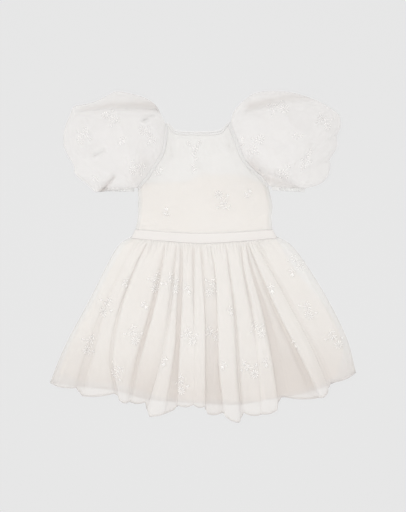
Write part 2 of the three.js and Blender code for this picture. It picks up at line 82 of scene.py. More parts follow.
SLEEVE_OUTLINE_RIGHT = np.array([(62, 298), (66, 318), (82, 337), (102, 354), (118, 362),
                                 (146, 365), (187, 363), (232, 351), (262, 338), (286, 323),
                                 (300, 310), (302, 285), (294, 266), (294, 241), (278, 213),
                                 (280, 205), (275, 178), (258, 161), (223, 150)])
UNDERARM_LEFT = np.array([(-145, 153), (-153, 151)])
UNDERARM_RIGHT = np.array([(145, 157), (153, 154)])
CUFF_LINE_LEFT = np.array([(-153, 151), (-223, 152)])
CUFF_LINE_RIGHT = np.array([(153, 154), (223, 150)])

# The lining's top edge over the chest and its hem, which show through the sheer cloth
LINING_TOP = np.array([(-132, 150), (-118, 161), (-60, 164), (-28, 167), (-2, 178), (40, 180),
                       (90, 176), (132, 154)])
LINING_HEM = np.array([(-318, -258), (-250, -274), (-170, -284), (-70, -312), (20, -318),
                       (110, -316), (190, -303), (250, -286), (296, -262)])
# How far the skirt's lining stays inside its side folds, on the way down
INSET_STATIONS = [0, 0.1, 0.25, 0.4, 0.6, 0.8, 1]
INSET_LEFT = [12, 14, 15, 16, 16, 17, 20]
INSET_RIGHT = [12, 28, 32, 20, 9, 14, 42]

# The skirt front's valleys: X at six stations from the waist to the hem, left edge to right edge
STATIONS = [0, 0.05, 0.17, 0.44, 0.75, 1]
VALLEYS = np.array([
    (-158, -184, -208, -252, -305, -338),
    (-140, -154, -174, -216, -250, -274),
    (-119, -126, -147, -181, -201, -188),
    (-82, -85, -92, -113, -144, -163),
    (-58, -59, -64, -75, -97, -124),
    (-46, -46, -45, -48, -54, -57),
    (-21, -21, -21, -20, -20, -21),
    (-6, -4, 0, 5, 6, 6),
    (15, 18, 26, 31, 35, 46),
    (50, 52, 58, 71, 78, 85),
    (82, 84, 89, 109, 122, 128),
    (93, 96, 104, 131, 153, 166),
    (98, 103, 120, 161, 216, 257),
    (112, 119, 141, 190, 243, 277),
    (163, 191, 221, 272, 318, 338),
])

# Heights and widths on the way down the skirt are given at these shares of its length
DOWN = [0.06, 0.35, 0.65, 1]
# Each valley: how high its floor lies at the four stations, how wide its open part is there,
# and how much of the open part lies to the left of the valley line
VALLEY_FLOORS = np.array([
    (0, 0, 0, 0),
    (2, 3, 2, 1),
    (0, 0, 3, 2),
    (0, 0, 0, 0),
    (0, 0, 3, 0),
    (0, 0, 0, 0),
    (0, 1, 9, 9),
    (0, 0, 0, 0),
    (0, 0, 0, 0),
    (0, 0, 0, 0),
    (0, 0, 7, 6),
    (0, 0, 0, 0),
    (0, 0, 0, 0),
    (0, 2, 4, 3),
    (0, 0, 0, 0),
])
VALLEY_WIDTHS = np.array([
    (0, 0, 0, 0),
    (0, 2, 10, 14),
    (1, 2, 6, 8),
    (2, 6, 7, 5),
    (2, 4, 2, 0),
    (4, 9, 10, 26),
    (4, 1, 0, 0),
    (4, 1, 0, 0),
    (1, 0, 0, 1),
    (1, 2, 4, 3),
    (1, 3, 1, 1),
    (1, 8, 16, 24),
    (1, 5, 9, 14),
    (3, 4, 6, 6),
    (0, 0, 0, 0),
])
LEFT_OF_LINE = np.array([0.5, 0.5, 0.7, 0.5, 0.5, 1, 0.5, 0.6, 0.5, 0.5, 0.5, 0, 1, 0, 0.5])

# Each fold: the height of its crest at the four stations, before it settles to RELIEF of it
RELIEF = 0.85
CRESTS = np.array([
    (3, 5, 7, 8),
    (4, 8, 8, 7),
    (5, 9, 10, 10),
    (5, 9, 7, 3),
    (5, 6, 9, 12),
    (5, 9, 10, 10),
    (5, 9, 10, 10),
    (4, 2, 1, 1.5),
    (5, 10, 12, 13),
    (5, 8, 9, 9),
    (5, 9, 12, 13),
    (3, 3, 3.5, 3),
    (6, 10, 13, 14),
    (4, 6, 8, 8),
])
# Each fold: the hem's Y at its left and right, how far in from its left and right edge it takes
# to round up to its flat top, and the way it leans, -1 to 1
FOLDS = np.array([
    (-279, -288, 16, 20, -0.2),
    (-306, -299, 24, 9, -0.2),
    (-312, -321, 8, 22, -0.4),
    (-319, -319, 7, 9, -0.5),
    (-352, -334, 8, 9, -0.2),
    (-326, -326, 7, 14, -0.6),
    (-326, -328, 10, 7, 0.2),
    (-345, -342, 12, 12, 0.0),
    (-348, -365, 7, 8, -0.4),
    (-341, -348, 8, 10, 0.3),
    (-346, -334, 12, 7, 0.6),
    (-306, -311, 14, 10, 0.0),
    (-310, -297, 7, 9, -0.3),
    (-278, -256, 18, 14, 0.3),
])
FOLD_COUNT = len(FOLDS)
# The organza's tone is deeper towards the hem, and once more where it hangs past the lining
HEM_TONE = 0.55
PAST_LINING_TONE = 0.2
# Painted shade, deepening the organza's colour where the pleats' gaps and some folds lie in shadow:
# how much at each fold, and in the open part of each valley
FOLD_PAINTED_SHADE = np.zeros((FOLD_COUNT, 4))
FOLD_PAINTED_SHADE[3] = (0, 0, 0.2, 0.6)
FOLD_PAINTED_SHADE[7] = (0, 0.15, 0.6, 0.75)
FOLD_PAINTED_SHADE[11] = (0.1, 0.4, 0.7, 0.9)
VALLEY_PAINTED_SHADE = np.array([
    (0, 0, 0, 0),
    (0.1, 0.2, 0.3, 0.3),
    (0.3, 0.3, 0.3, 0.3),
    (0.3, 0.9, 1, 0.5),
    (0.2, 0.3, 0.1, 0),
    (0.4, 0.7, 1, 1),
    (0.7, 0.1, 0, 0),
    (0.5, 0.3, 0.6, 0.6),
    (0.2, 0.4, 0.6, 0.8),
    (0.2, 0.3, 0.2, 0.1),
    (0.4, 0.4, 0.1, 0.1),
    (0.5, 1, 1, 1),
    (0.6, 0.8, 0.9, 1),
    (0.3, 0.3, 0.2, 0.1),
    (0, 0, 0, 0),
])

# The gathers below the waistband: X at the waist, how far each runs down the skirt, and its depth
GATHERS = np.array([
    (-150, 0.06, 1.2), (-133, 0.08, 1.8), (-126, 0.05, 1.2), (-109, 0.12, 2.6), (-102, 0.06, 1.6),
    (-97, 0.09, 2.0), (-90, 0.05, 1.3), (-74, 0.1, 1.8), (-67, 0.06, 1.4), (-52, 0.07, 2.0),
    (-39, 0.08, 1.5), (-33, 0.14, 1.8), (-27, 0.05, 1.4), (-14, 0.09, 2.0), (2, 0.06, 1.6),
    (8, 0.12, 2.2), (20, 0.05, 1.5), (24, 0.08, 1.8), (30, 0.07, 2.0), (37, 0.09, 2.0),
    (44, 0.06, 1.6), (57, 0.07, 1.7), (61, 0.05, 1.5), (67, 0.07, 1.9), (74, 0.06, 1.7),
    (78, 0.12, 2.2), (88, 0.07, 1.8), (106, 0.09, 1.6), (118, 0.16, 2.4), (126, 0.06, 1.3),
    (136, 0.1, 1.6), (150, 0.12, 1.6),
])

# How high the puff stands along the sleeve, and how high its outer rim lies
PUFF_ALONG = [0, 0.08, 0.25, 0.5, 0.75, 0.92, 1]
PUFF_TOP = [3, 17, 40, 52, 45, 26, 15]
PUFF_RIM = [1.5, 7, 15, 20, 17, 11, 7]

# Crisp folds over the puffs: direction, length, phase and height
PUFF_FACETS_LEFT = [(0.5, 92, 0.35, 2.6), (1.9, 118, 0.1, 2.8), (2.7, 66, 0.6, 1.3)]
PUFF_FACETS_RIGHT = [(2.6, 88, 0.2, 2.6), (1.2, 110, 0.55, 2.8), (0.4, 62, 0.3, 1.3)]

# Creases pressed into the puffs: from, to, depth and reach
CREASES_LEFT = np.array([
    (-98, 325, -199, 325, 12, 8),
    (-199, 325, -276, 317, 8, 8),
    (-226, 142, -196, 174, 12, 6),
    (-132, 299, -108, 312, 7, 4),
    (-236, 221, -214, 233, 6, 4),
    (-152, 176, -168, 214, 4, 9),
    (-262, 300, -240, 262, 2.5, 14),
    (-146, 190, -140, 218, 3, 5),
    (-186, 240, -160, 262, 2, 12),
])
CREASES_RIGHT = np.array([
    (98, 320, 178, 336, 8, 8),
    (178, 336, 262, 341, 7, 8),
    (106, 312, 126, 308, 4, 5),
    (92, 226, 126, 190, 12, 7),
    (126, 190, 160, 182, 12, 7),
    (160, 182, 206, 156, 12, 8),
    (238, 246, 222, 214, 4, 6),
    (262, 300, 240, 270, 3, 12),
    (150, 262, 190, 240, 2.5, 12),
])

# Painted shade along a sleeve's creases, deepening its colour where the folds lie in shade: from,
# to, depth 0 to 1, and reach
PAINTED_SHADE_LEFT = np.array([
    (-104, 336, -196, 334, 0.75, 10),
    (-196, 334, -268, 324, 0.5, 7),
    (-224, 144, -196, 174, 1.0, 6),
    (-128, 206, -156, 160, 0.35, 14),
])
PAINTED_SHADE_RIGHT = np.array([
    (104, 332, 178, 348, 0.7, 9),
    (178, 350, 262, 352, 0.5, 8),
    (104, 200, 128, 178, 0.9, 13),
    (128, 176, 196, 154, 0.75, 12),
])


# Curves and pattern pieces

def mix(a, b, share):
    """The value a share of the way from a to b."""
    return a + (b - a) * share


def eased(value, start, end):
    """From 0 to 1 between start and end, with no kink at either."""
    t = np.clip((value - start) / (end - start), 0, 1)
    return t * t * (3 - 2 * t)


def to_end(share):
    """How far a share is from the nearer of its ends, 0 and 1."""
    return np.minimum(share, 1 - share)


def waves(share, count):
    """Rises from 0 to 1 and falls back, by a cosine, that many times from one end to the other."""
    return 0.5 - 0.5 * np.cos(2 * np.pi * count * share)


def quarter_round(distance, reach):
    """Rises as a quarter circle, from 0 at an edge to 1 where the round ends."""
    return np.sqrt(1 - (1 - np.clip(distance / reach, 0, 1)) ** 2)


def edge(points):
    """A smooth curve through the points, by Catmull-Rom, read by its share of length from 0 to 1."""
    points = points.astype(float)
    around = np.vstack([points[:1], points, points[-1:]])
    fine = np.linspace(0, len(points) - 1, 900)
    k = np.minimum(fine.astype(int), len(points) - 2)
    s = (fine - k)[:, None]
    before, start, end, after = (around[k + step] for step in range(4))
    leaving, arriving = (end - before) / 2, (after - start) / 2
    line = ((2 * start - 2 * end + leaving + arriving) * s ** 3
            + (3 * end - 3 * start - 2 * leaving - arriving) * s ** 2 + leaving * s + start)
    length = np.r_[0, np.cumsum(np.linalg.norm(np.diff(line, axis=0), axis=1))]
    length /= length[-1]

    def at(t):
        return np.stack([np.interp(t, length, line[:, 0]), np.interp(t, length, line[:, 1])], -1)
    return at


def joined(first, second, share):
    """One curve after another: the first up to the share given, the second from there."""
    def at(t):
        t = np.asarray(t, float)
        low = first(np.clip(t / share, 0, 1))
        high = second(np.clip((t - share) / (1 - share), 0, 1))
        return np.where((t < share)[..., None], low, high)
    return at


def patch(bottom, top, left, right):
    """A pattern piece stretched between four edges: both pairs of edges blended, less the corners."""
    def flat(u, v):
        u1, v1 = u[..., None], v[..., None]
        up = mix(bottom(u), top(u), v1)
        over = mix(left(v), right(v), u1)
        corners = mix(mix(bottom(0.0), bottom(1.0), u1), mix(top(0.0), top(1.0), u1), v1)
        return up + over - corners
    return flat


def between(stations, values, t):
    """Smooth values through unevenly spaced stations, by cubics with the neighbours' slopes."""
    stations, values = np.asarray(stations, float), np.asarray(values, float)
    n = len(stations)
    low, high = np.maximum(np.arange(n) - 1, 0), np.minimum(np.arange(n) + 1, n - 1)
    slopes = (values[..., high] - values[..., low]) / (stations[high] - stations[low])
    k = np.clip(np.searchsorted(stations, t) - 1, 0, n - 2)
    span = stations[k + 1] - stations[k]
    s = (t - stations[k]) / span
    start = values[..., k] * (1 + 2 * s) * (1 - s) ** 2 + slopes[..., k] * span * s * (1 - s) ** 2
    end = values[..., k + 1] * s ** 2 * (3 - 2 * s) - slopes[..., k + 1] * span * s ** 2 * (1 - s)
    return start + end


def share_grid(columns, rows):
    """The two parameters of a piece, each from 0 to 1, as grids with a row per step of the second."""
    return np.meshgrid(np.linspace(0, 1, columns + 1), np.linspace(0, 1, rows + 1))


def soft_unevenness(u, v, across, along, seed):
    """Random heights from -1 to 1 on a lattice of across by along cells, joined smoothly."""
    lattice = np.random.default_rng(seed).uniform(-1, 1, (along + 2, across + 2))
    x, y = u * across, v * along
    i, j = np.minimum(x.astype(int), across - 1), np.minimum(y.astype(int), along - 1)
    fx, fy = eased(x - i, 0, 1), eased(y - j, 0, 1)
    low = mix(lattice[j, i], lattice[j, i + 1], fx)
    high = mix(lattice[j + 1, i], lattice[j + 1, i + 1], fx)
    return mix(low, high, fy)


def creases_at(creases, x, y):
    """Depth of the creases: each a crisp trough from one point to another; the deepest counts."""
    total = np.zeros_like(x)
    for from_x, from_y, to_x, to_y, depth, reach in creases:
        along = np.array([to_x - from_x, to_y - from_y], float)
        share = np.clip(((x - from_x) * along[0] + (y - from_y) * along[1]) / (along @ along), 0, 1)
        away = np.hypot(x - from_x - share * along[0], y - from_y - share * along[1])
        fading = 1 - 0.35 * share
        trough = depth * fading * np.exp(-(away / (reach * (1 - 0.3 * share))) ** 1.4)
        total = np.maximum(total, trough)
    return total


def facets(x, y, warp, folds):
    """Crisp folds: for each direction a triangle wave of its length and height, bent by warp."""
    total = np.zeros_like(x)
    for turn, length, phase, height in folds:
        t = (x * math.cos(turn) + y * math.sin(turn) + 16 * warp) / length + phase
        total += height * np.abs(2 * (t - np.floor(t)) - 1)
    return total


# Materials

def linear(colour):
    """An sRGB hex colour as linear RGBA."""
    parts = [int(colour[k:k + 2], 16) / 255 for k in (1, 3, 5)]
    return [p / 12.92 if p <= 0.04045 else ((p + 0.055) / 1.055) ** 2.4 for p in parts] + [1.0]


def add(material, kind, settings=None, **inputs):
    """Adds a node: its own settings, then its inputs by name, each a value or another socket."""
    node = material.node_tree.nodes.new(kind)
    for name, value in (settings or {}).items():
        setattr(node, name, value)
    for name, value in inputs.items():
        socket = node.inputs[name.replace("_", " ")]
        if isinstance(value, bpy.types.NodeSocket):
            material.node_tree.links.new(value, socket)
        else:
            socket.default_value = value
    return node


def period(millimetres):
    """The Wave Texture scale that repeats after that length, in metres of UV."""
    return 2 * math.pi / (20 * millimetres * MM)


def woven(name, light, shade, alpha, thread, relief, roughness, sheen, deep=None):
    """Plain weave: two crossed thread ribs as bump, and two close tones that drift over the cloth.
    With deep, the tone goes over to it where painted_shade_and_hem_tone says: painted shade and a
    deeper hem tone."""
    material = bpy.data.materials.new(name)
    material.use_nodes = True
    tree = material.node_tree
    surface = tree.nodes["Principled BSDF"]
    uv = add(material, "ShaderNodeUVMap").outputs["UV"]
    ribs = {"wave_type": "BANDS", "wave_profile": "SIN"}
    warp = add(material, "ShaderNodeTexWave", {**ribs, "bands_direction": "X"}, Vector=uv,
               Scale=period(thread), Distortion=0.6, Detail=1.0)
    weft = add(material, "ShaderNodeTexWave", {**ribs, "bands_direction": "Y"}, Vector=uv,
               Scale=period(thread * 1.1), Distortion=0.6, Detail=1.0)
    ribs_height = add(material, "ShaderNodeMath", {"operation": "ADD"})
    tree.links.new(warp.outputs["Fac"], ribs_height.inputs[0])
    tree.links.new(weft.outputs["Fac"], ribs_height.inputs[1])
    bump = add(material, "ShaderNodeBump", Height=ribs_height.outputs[0], Strength=relief,
               Distance=0.0002)
    drift = add(material, "ShaderNodeTexNoise", Vector=uv, Scale=14.0, Detail=3.0)
    tones = add(material, "ShaderNodeMix", {"data_type": "RGBA"})
    tree.links.new(drift.outputs["Fac"], tones.inputs[0])
    tones.inputs[6].default_value = linear(light)
    tones.inputs[7].default_value = linear(shade)
    # Painted shade: the colour goes over to the deep one in folds and gaps that lie in shade, and
    # towards a skirt's hem as its deeper tone
    if deep:
        gap = add(material, "ShaderNodeAttribute", {"attribute_name": "painted_shade_and_hem_tone"})
        deeper = add(material, "ShaderNodeMix", {"data_type": "RGBA"})
        tree.links.new(gap.outputs["Fac"], deeper.inputs[0])
        tree.links.new(tones.outputs[2], deeper.inputs[6])
        deeper.inputs[7].default_value = linear(deep)
        tones = deeper
    tree.links.new(tones.outputs[2], surface.inputs["Base Color"])
    tree.links.new(bump.outputs["Normal"], surface.inputs["Normal"])
    surface.inputs["Roughness"].default_value = roughness
    surface.inputs["IOR"].default_value = 1.5
    surface.inputs["Specular IOR Level"].default_value = 0.25
    surface.inputs["Sheen Weight"].default_value = sheen
    surface.inputs["Sheen Roughness"].default_value = 0.5
    surface.inputs["Alpha"].default_value = alpha
    return material


# Organza: a crisp sheer plain weave of fine filament, soft white, faintly glossy, with painted
# shade along a sleeve's creases, which deepens its colour there. Its threads are 0.3 mm apart on
# the real cloth and drawn 0.8 mm apart so that a close view shows them.
organza = woven("organza_sheer_weave", "#faf8f6", "#f7f5f4", 0.42, 0.8, 0.35, 0.5, 0.5, "#e5dfdb")
# The same organza over the ivory lining, a little warmer, with painted shade in the gaps of the
# pleats, and a deeper tone towards the skirt's hem.
organza_warm = woven("organza_over_ivory", "#f9f8f6", "#f7f5f2", 0.42, 0.8, 0.35, 0.5, 0.5,
                     "#eee9e5")
# The skirt's turned hems, of the organza in its deeper tone, as no lining lies behind them.
organza_hem = woven("organza_turned_hem", "#efebea", "#ece8e7", 0.42, 0.8, 0.35, 0.5, 0.5)
# Cotton lawn: the soft matt lining, warmer and opaque, with its threads drawn 0.6 mm apart.
lawn = woven("cotton_lawn_lining", "#fef8f2", "#fdf5ee", 1.0, 0.6, 0.3, 0.85, 0.1)
# Organza doubled over lawn: the waistband, where folded layers look denser.
doubled = woven("organza_doubled_over_lawn", "#e9e5e2", "#e6e2de", 1.0, 0.8, 0.4, 0.7, 0.1)
# Seams, bindings and cuff casings: organza turned under and pressed, whiter for its layers.
allowance = woven("organza_seam_allowance", "#f8f7f6", "#f5f4f2", 0.7, 0.8, 0.4, 0.6, 0.12)


def thread_material():
    """Satin stitch: parallel glossy threads across each leaf and petal, as fine ribs of bump."""
    material = bpy.data.materials.new("rayon_embroidery_thread")
    material.use_nodes = True
    tree = material.node_tree
    surface = tree.nodes["Principled BSDF"]
    uv = add(material, "ShaderNodeUVMap").outputs["UV"]
    laid = add(material, "ShaderNodeTexWave", {"wave_type": "BANDS", "bands_direction": "X"},
               Vector=uv, Scale=period(0.5), Distortion=0.3)
    bump = add(material, "ShaderNodeBump", Height=laid.outputs["Fac"], Strength=0.3,
               Distance=0.0002)
    tree.links.new(bump.outputs["Normal"], surface.inputs["Normal"])
    tones = add(material, "ShaderNodeMix", {"data_type": "RGBA"})
    tree.links.new(laid.outputs["Fac"], tones.inputs[0])
    tones.inputs[6].default_value = linear("#f2efec")
    tones.inputs[7].default_value = linear("#f7f5f2")
    tree.links.new(tones.outputs[2], surface.inputs["Base Color"])
    surface.inputs["Roughness"].default_value = 0.4
    surface.inputs["IOR"].default_value = 1.5
    surface.inputs["Sheen Weight"].default_value = 0.4
    return material


# Rayon embroidery thread: soft white with a low shine, raised above the cloth.
thread = thread_material()


# Meshes

def normals_of(points, wrapped=False):
    """Unit normals of a grid: the cross product of its steps across and along."""
    if wrapped:
        ring = np.concatenate([points[:, -2:-1], points, points[:, 1:2]], axis=1)
        across = (ring[:, 2:] - ring[:, :-2])
    else:
        across = np.gradient(points, axis=1)
    along = np.gradient(points, axis=0)
    normal = np.cross(across, along)
    return normal / np.maximum(np.linalg.norm(normal, axis=2, keepdims=True), 1e-9)


def mesh_object(name, points, faces, uv, material, rounded=None):
    """Vertices in millimetres and faces as arrays, put into a mesh in metres with its UV map. Only
    the first faces, as many as rounded, are shaded smooth, so that a cloth's cut edge stays crisp."""
    mesh = bpy.data.meshes.new(name)
    places = ((points + CENTRING) * MM).astype(np.float32)
    mesh.vertices.add(len(places))
    mesh.vertices.foreach_set("co", places.ravel())
    mesh.loops.add(faces.size)
    mesh.loops.foreach_set("vertex_index", faces.astype(np.int32).ravel())
    mesh.polygons.add(len(faces))
    mesh.polygons.foreach_set("loop_start", np.arange(0, faces.size, faces.shape[1], dtype=np.int32))
    mesh.update(calc_edges=True)
    layer = mesh.uv_layers.new(name="cut")
    layer.data.foreach_set("uv", (uv[faces.ravel()] * MM).astype(np.float32).ravel())
    smooth = np.arange(len(faces)) < (len(faces) if rounded is None else rounded)
    mesh.polygons.foreach_set("use_smooth", smooth)
    mesh.validate()
    mesh.materials.append(material)
    piece = bpy.data.objects.new(name, mesh)
    bpy.context.scene.collection.objects.link(piece)
    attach(piece, "root")
    return piece


def grid_faces(columns, rows, start=0, across=None):
    """Quads of a grid of rows by columns, numbered from start."""
    across = across or columns + 1
    row, column = np.meshgrid(np.arange(rows), np.arange(columns), indexing="ij")
    a = start + row * across + column
    right = start + row * across + (column + 1) % across
    return np.stack([a, right, right + across, a + across], -1).reshape(-1, 4)


class Cloth:
    """A cloth piece as a grid of points, with its normals, its two parameters and arc lengths."""

    def __init__(self, points, wrapped=False):
        self.points = points
        self.wrapped = wrapped
        self.normals = normals_of(points, wrapped)
        shown = self.normals[:, :points.shape[1] // 2] if wrapped else self.normals
        self.mirrored = shown[..., 2].mean() < 0
        if self.mirrored:
            self.normals = -self.normals
        steps = np.linalg.norm(np.diff(points, axis=1), axis=2)
        self.across = np.concatenate([np.zeros((len(points), 1)), np.cumsum(steps, axis=1)], axis=1)
        steps = np.linalg.norm(np.diff(points, axis=0), axis=2)
        self.along = np.concatenate([np.zeros((1, points.shape[1])), np.cumsum(steps, axis=0)],
                                    axis=0)

    def at(self, u, v, height=0.0):
        """Points on the cloth at shares u and v, by blending the four grid points around them."""
        rows, columns = self.points.shape[0] - 1, self.points.shape[1] - 1
        u = u % 1 if self.wrapped else np.clip(u, 0, 1)
        x, y = u * columns, np.clip(v, 0, 1) * rows
        i, j = np.minimum(x.astype(int), columns - 1), np.minimum(y.astype(int), rows - 1)
        fx, fy = (x - i)[..., None], (y - j)[..., None]

        def blended(grid):
            low = mix(grid[j, i], grid[j, i + 1], fx)
            high = mix(grid[j + 1, i], grid[j + 1, i + 1], fx)
            return mix(low, high, fy)
        return blended(self.points) + blended(self.normals) * np.asarray(height)[..., None]

    def nearest(self, x, y, low=0.0, high=1.0):
        """The shares of the grid point nearest to X and Y, seen from above or below."""
        rows, columns = self.points.shape[0] - 1, self.points.shape[1] - 1
        away = np.hypot(self.points[..., 0] - x, self.points[..., 1] - y)
        shares = np.arange(columns + 1) / columns
        away[:, (shares < low) | (shares > high)] = 1e9
        row, column = np.unravel_index(np.argmin(away), away.shape)
        return column / columns, row / rows

    def wrapped_in(self, u, v, right, up):
        """Shares of points a distance right and up the cloth from u, v, measured in the cloth."""
        rows, columns = self.points.shape[0] - 1, self.points.shape[1] - 1
        row, column = int(round(v * rows)), int(round(u * columns))
        shares = np.linspace(0, 1, columns + 1)
        here = self.across[row]
        there = here[column] + right
        if self.wrapped:
            there = there % here[-1]
        return np.interp(there, here, shares), v + up / self.along[-1, column]


def cloth_piece(name, cloth, thickness, material, slot):
    """A thin closed wall on both sides of the cloth's grid, closed along its free edges."""
    points, normals = cloth.points, cloth.normals
    rows, columns = points.shape[0] - 1, points.shape[1] - 1
    if cloth.wrapped:
        points, normals = points[:, :-1], normals[:, :-1]
    across = points.shape[1]
    every = np.concatenate([(points + normals * thickness / 2).reshape(-1, 3),
                            (points - normals * thickness / 2).reshape(-1, 3)])
    count = (rows + 1) * across
    first, last = np.arange(columns), (np.arange(columns) + 1) % across
    end = rows * across
    walls = [np.stack([first + count, last + count, last, first], -1),
             np.stack([first + end, last + end, last + end + count, first + end + count], -1)]
    if not cloth.wrapped:
        low = np.arange(rows) * across
        high = low + columns
        walls.append(np.stack([low, low + across, low + across + count, low + count], -1))
        walls.append(np.stack([high + count, high + across + count, high + across, high], -1))
    faces = np.concatenate([grid_faces(columns, rows, 0, across),
                            grid_faces(columns, rows, count, across)[:, ::-1], *walls])
    if cloth.mirrored:
        faces = faces[:, ::-1]
    size = cloth.across[:, :across]
    middle = size - cloth.across[:, [columns // 2]]
    uv = np.stack([middle, cloth.along[:, :across]], -1).reshape(-1, 2)
    piece = mesh_object(name, every, faces, np.concatenate([uv, uv]), material, 2 * rows * columns)
    return piece


# The cloths that stand for the solids' nodes, by the node's name
cloths = {}


def node_cloth(node, cloth, thickness, material, slot, ending="cloth"):
    """The piece that stands for a node. Its cloth is kept for what is sewn onto it."""
    piece = cloth_piece(f"{node}_{ending}", cloth, thickness, material, slot)
    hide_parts(node)
    cloths[node] = cloth
    return piece


# Bodice

# The armhole starts at this share of the way up the bodice's sides
UNDERARM_SHARE = 0.4
BODICE_WIDTH = 304
# How far below the sheer front the linings stay near the sides, middle to middle
LINING_CLEARANCE = 0.9
# Scale in height of the front's low dome, which fades out at the waist and at the neck
FRONT_DOME = 2.5

waist_seam = edge(WAIST_SEAM)
band_edge = edge(BAND_EDGE)
bodice_left = joined(edge(SIDE_LEFT), edge(ARMHOLE_LEFT), UNDERARM_SHARE)
bodice_right = joined(edge(SIDE_RIGHT), edge(ARMHOLE_RIGHT), UNDERARM_SHARE)

# Soft creases of a bodice laid flat: from, to, depth and reach
BODICE_CREASES = np.array([
    (-142, 92, -92, 70, 1.0, 7),
    (-128, 70, -60, 66, 0.8, 6),
    (146, 96, 92, 78, 1.2, 7),
    (98, 62, 112, 128, 0.9, 9),
    (64, 150, 118, 168, 0.9, 9),
    (-120, 172, -84, 196, 0.9, 7),
    (-60, 214, -78, 246, 0.6, 8),
    (62, 250, 84, 212, 0.7, 8),
])


def side_slope(from_side):
    """From 0 at the flat side edge to 1 where the cloth lies on the layers below it."""
    return eased(from_side, 0.5, 12)


def bodice_front():
    """Rises from its flat side edges onto the lining in a soft slope, with a low dome."""
    u, v = share_grid(150, 130)
    flat = patch(waist_seam, edge(NECK_FRONT), bodice_left, bodice_right)(u, v)
    from_side = to_end(u) * BODICE_WIDTH
    dome = FRONT_DOME * np.sin(np.pi * to_end(u)) * (1 - v) * eased(v, 0.02, 0.3)
    on_lining = 1 - eased(v, 0.62, 0.85)
    rise = EDGE_Z + side_slope(from_side) * (FRONT_Z - EDGE_Z + dome) * on_lining
    free = eased(to_end(u), 0, 0.06) * eased(v, 0, 0.05) * eased(1 - v, 0, 0.04)
    rise += free * (0.5 * soft_unevenness(u, v, 9, 8, 3) + 0.25 * soft_unevenness(u, v, 24, 20, 4))
    rise += free * (1.0 - creases_at(BODICE_CREASES, flat[..., 0], flat[..., 1]))
    return Cloth(np.dstack([flat, rise]))


def bodice_back():
    """Lies on the floor, lifted a little by the same kind of soft creases."""
    u, v = share_grid(120, 100)
    flat = patch(waist_seam, edge(NECK_BACK), bodice_left, bodice_right)(u, v)
    mirrored = BODICE_CREASES * np.array([-1, 1, -1, 1, 0.6, 1])
    free = eased(to_end(u), 0, 0.06) * eased(1 - v, 0, 0.05)
    rise = BACK_Z + free * np.clip(0.35 + 0.25 * soft_unevenness(u, v, 9, 8, 5)
                                   - 0.3 * creases_at(mirrored, flat[..., 0], flat[..., 1]), 0, 1)
    return Cloth(np.dstack([flat, rise]))


def bodice_lining(height, inset, seed):
    """Between the side seams and the arch over the chest, almost flat, lower at its sides."""
    u, v = share_grid(80, 50)
    inwards = np.array([inset, 0])
    bottom = edge(WAIST_SEAM * np.array([1 - 2 * inset / BODICE_WIDTH, 1]))
    flat = patch(bottom, edge(LINING_TOP), edge(SIDE_LEFT + inwards), edge(SIDE_RIGHT - inwards))
    free = eased(to_end(u), 0, 0.08) * eased(to_end(v), 0, 0.06)
    from_side = inset + to_end(u) * (BODICE_WIDTH - 2 * inset)
    below_front = EDGE_Z + side_slope(from_side) * (FRONT_Z - EDGE_Z) - LINING_CLEARANCE
    rise = np.minimum(height, below_front) + 0.15 * free * soft_unevenness(u, v, 7, 6, seed)
    return Cloth(np.dstack([flat(u, v), rise]))


front_lining = bodice_lining(LINING_FRONT_Z, inset=6, seed=7)
back_lining = bodice_lining(LINING_BACK_Z, inset=12, seed=8)
node_cloth("bodice_front", bodice_front(), SHEER, organza_warm, "sheer_cloth")
node_cloth("bodice_back", bodice_back(), SHEER, organza, "sheer_cloth")
node_cloth("bodice_lining_front", front_lining, LINING, lawn, "lining_cloth")
node_cloth("bodice_lining_back", back_lining, LINING, lawn, "lining_cloth")


# Skirt

# How much deeper than in their table the gathers are drawn, and how wide each is at the waist
GATHER_DEPTH = 1.3
GATHER_WIDTH = 1.3
# How far a fold's top shifts towards the side it leans to, as a share of its height
LEAN_SHIFT = 0.22
# How far in from its side edges the skirt front rounds up to its folds
SIDE_ROUND = 17
# How far the skirt front lies off the lining at the band, and how much further lower down
BAND_LIFT = 0.5
FREE_LIFT = 1.8
# Columns of the grid on each fold of the skirt front, and its rows
FOLD_COLUMNS = 30
FRONT_ROWS = 100
# How low the middle of a fold's hem hangs below its two ends
HEM_BELLY = 5
# How far the skirt's layers reach up past the waistband's lower edge
TUCK = 3
# How many low folds and gathers the back has, and how many waves a lining
BACK_FOLDS = 13
BACK_GATHERS = 38
LINING_WAVES = 11
# The back's columns and rows, and how much deeper its tone is at the hem, past the lining
BACK_GRID = (300, 60)
BACK_HEM_TONE = 0.8


def waist_y(x):
    """Y of the waistband's lower edge at X."""
    share = (x - BAND_EDGE[0, 0]) / (BAND_EDGE[2, 0] - BAND_EDGE[0, 0])
    return band_edge(np.clip(share, 0, 1))[..., 1]


def valley_x(v):
    """X of every valley at the rows v: one row of the result per valley."""
    return between(STATIONS, VALLEYS, v)


def hem_y(fold, across):
    """Each fold hangs at its own height with a small belly; two neighbours meet half way."""
    left, right = FOLDS[fold, 0], FOLDS[fold, 1]
    own = mix(left, right, across) - HEM_BELLY * np.sin(np.pi * across)
    before = FOLDS[np.maximum(fold - 1, 0), 1]
    after = FOLDS[np.minimum(fold + 1, FOLD_COUNT - 1), 0]
    at_left = np.where(fold == 0, left, (before + left) / 2)
    at_right = np.where(fold == FOLD_COUNT - 1, right, (right + after) / 2)
    valley = np.where(across < 0.5, at_left, at_right)
    clear = np.clip(to_end(across) / 0.1, 0, 1)
    return mix(valley, own, eased(clear, 0, 1))


def gathers_at(x_at_waist, v):
    """Depth of the gathers: narrow bell-shaped troughs that open and fade on the way down."""
    total = np.zeros_like(v)
    for place, run, depth in GATHERS:
        fade = 1 - eased(v, 0.4 * run, 1.6 * run)
        width = GATHER_WIDTH * (1 + 0.8 * v / run)
        total += GATHER_DEPTH * depth * fade * np.exp(-((x_at_waist - place) / width) ** 2)
    return total


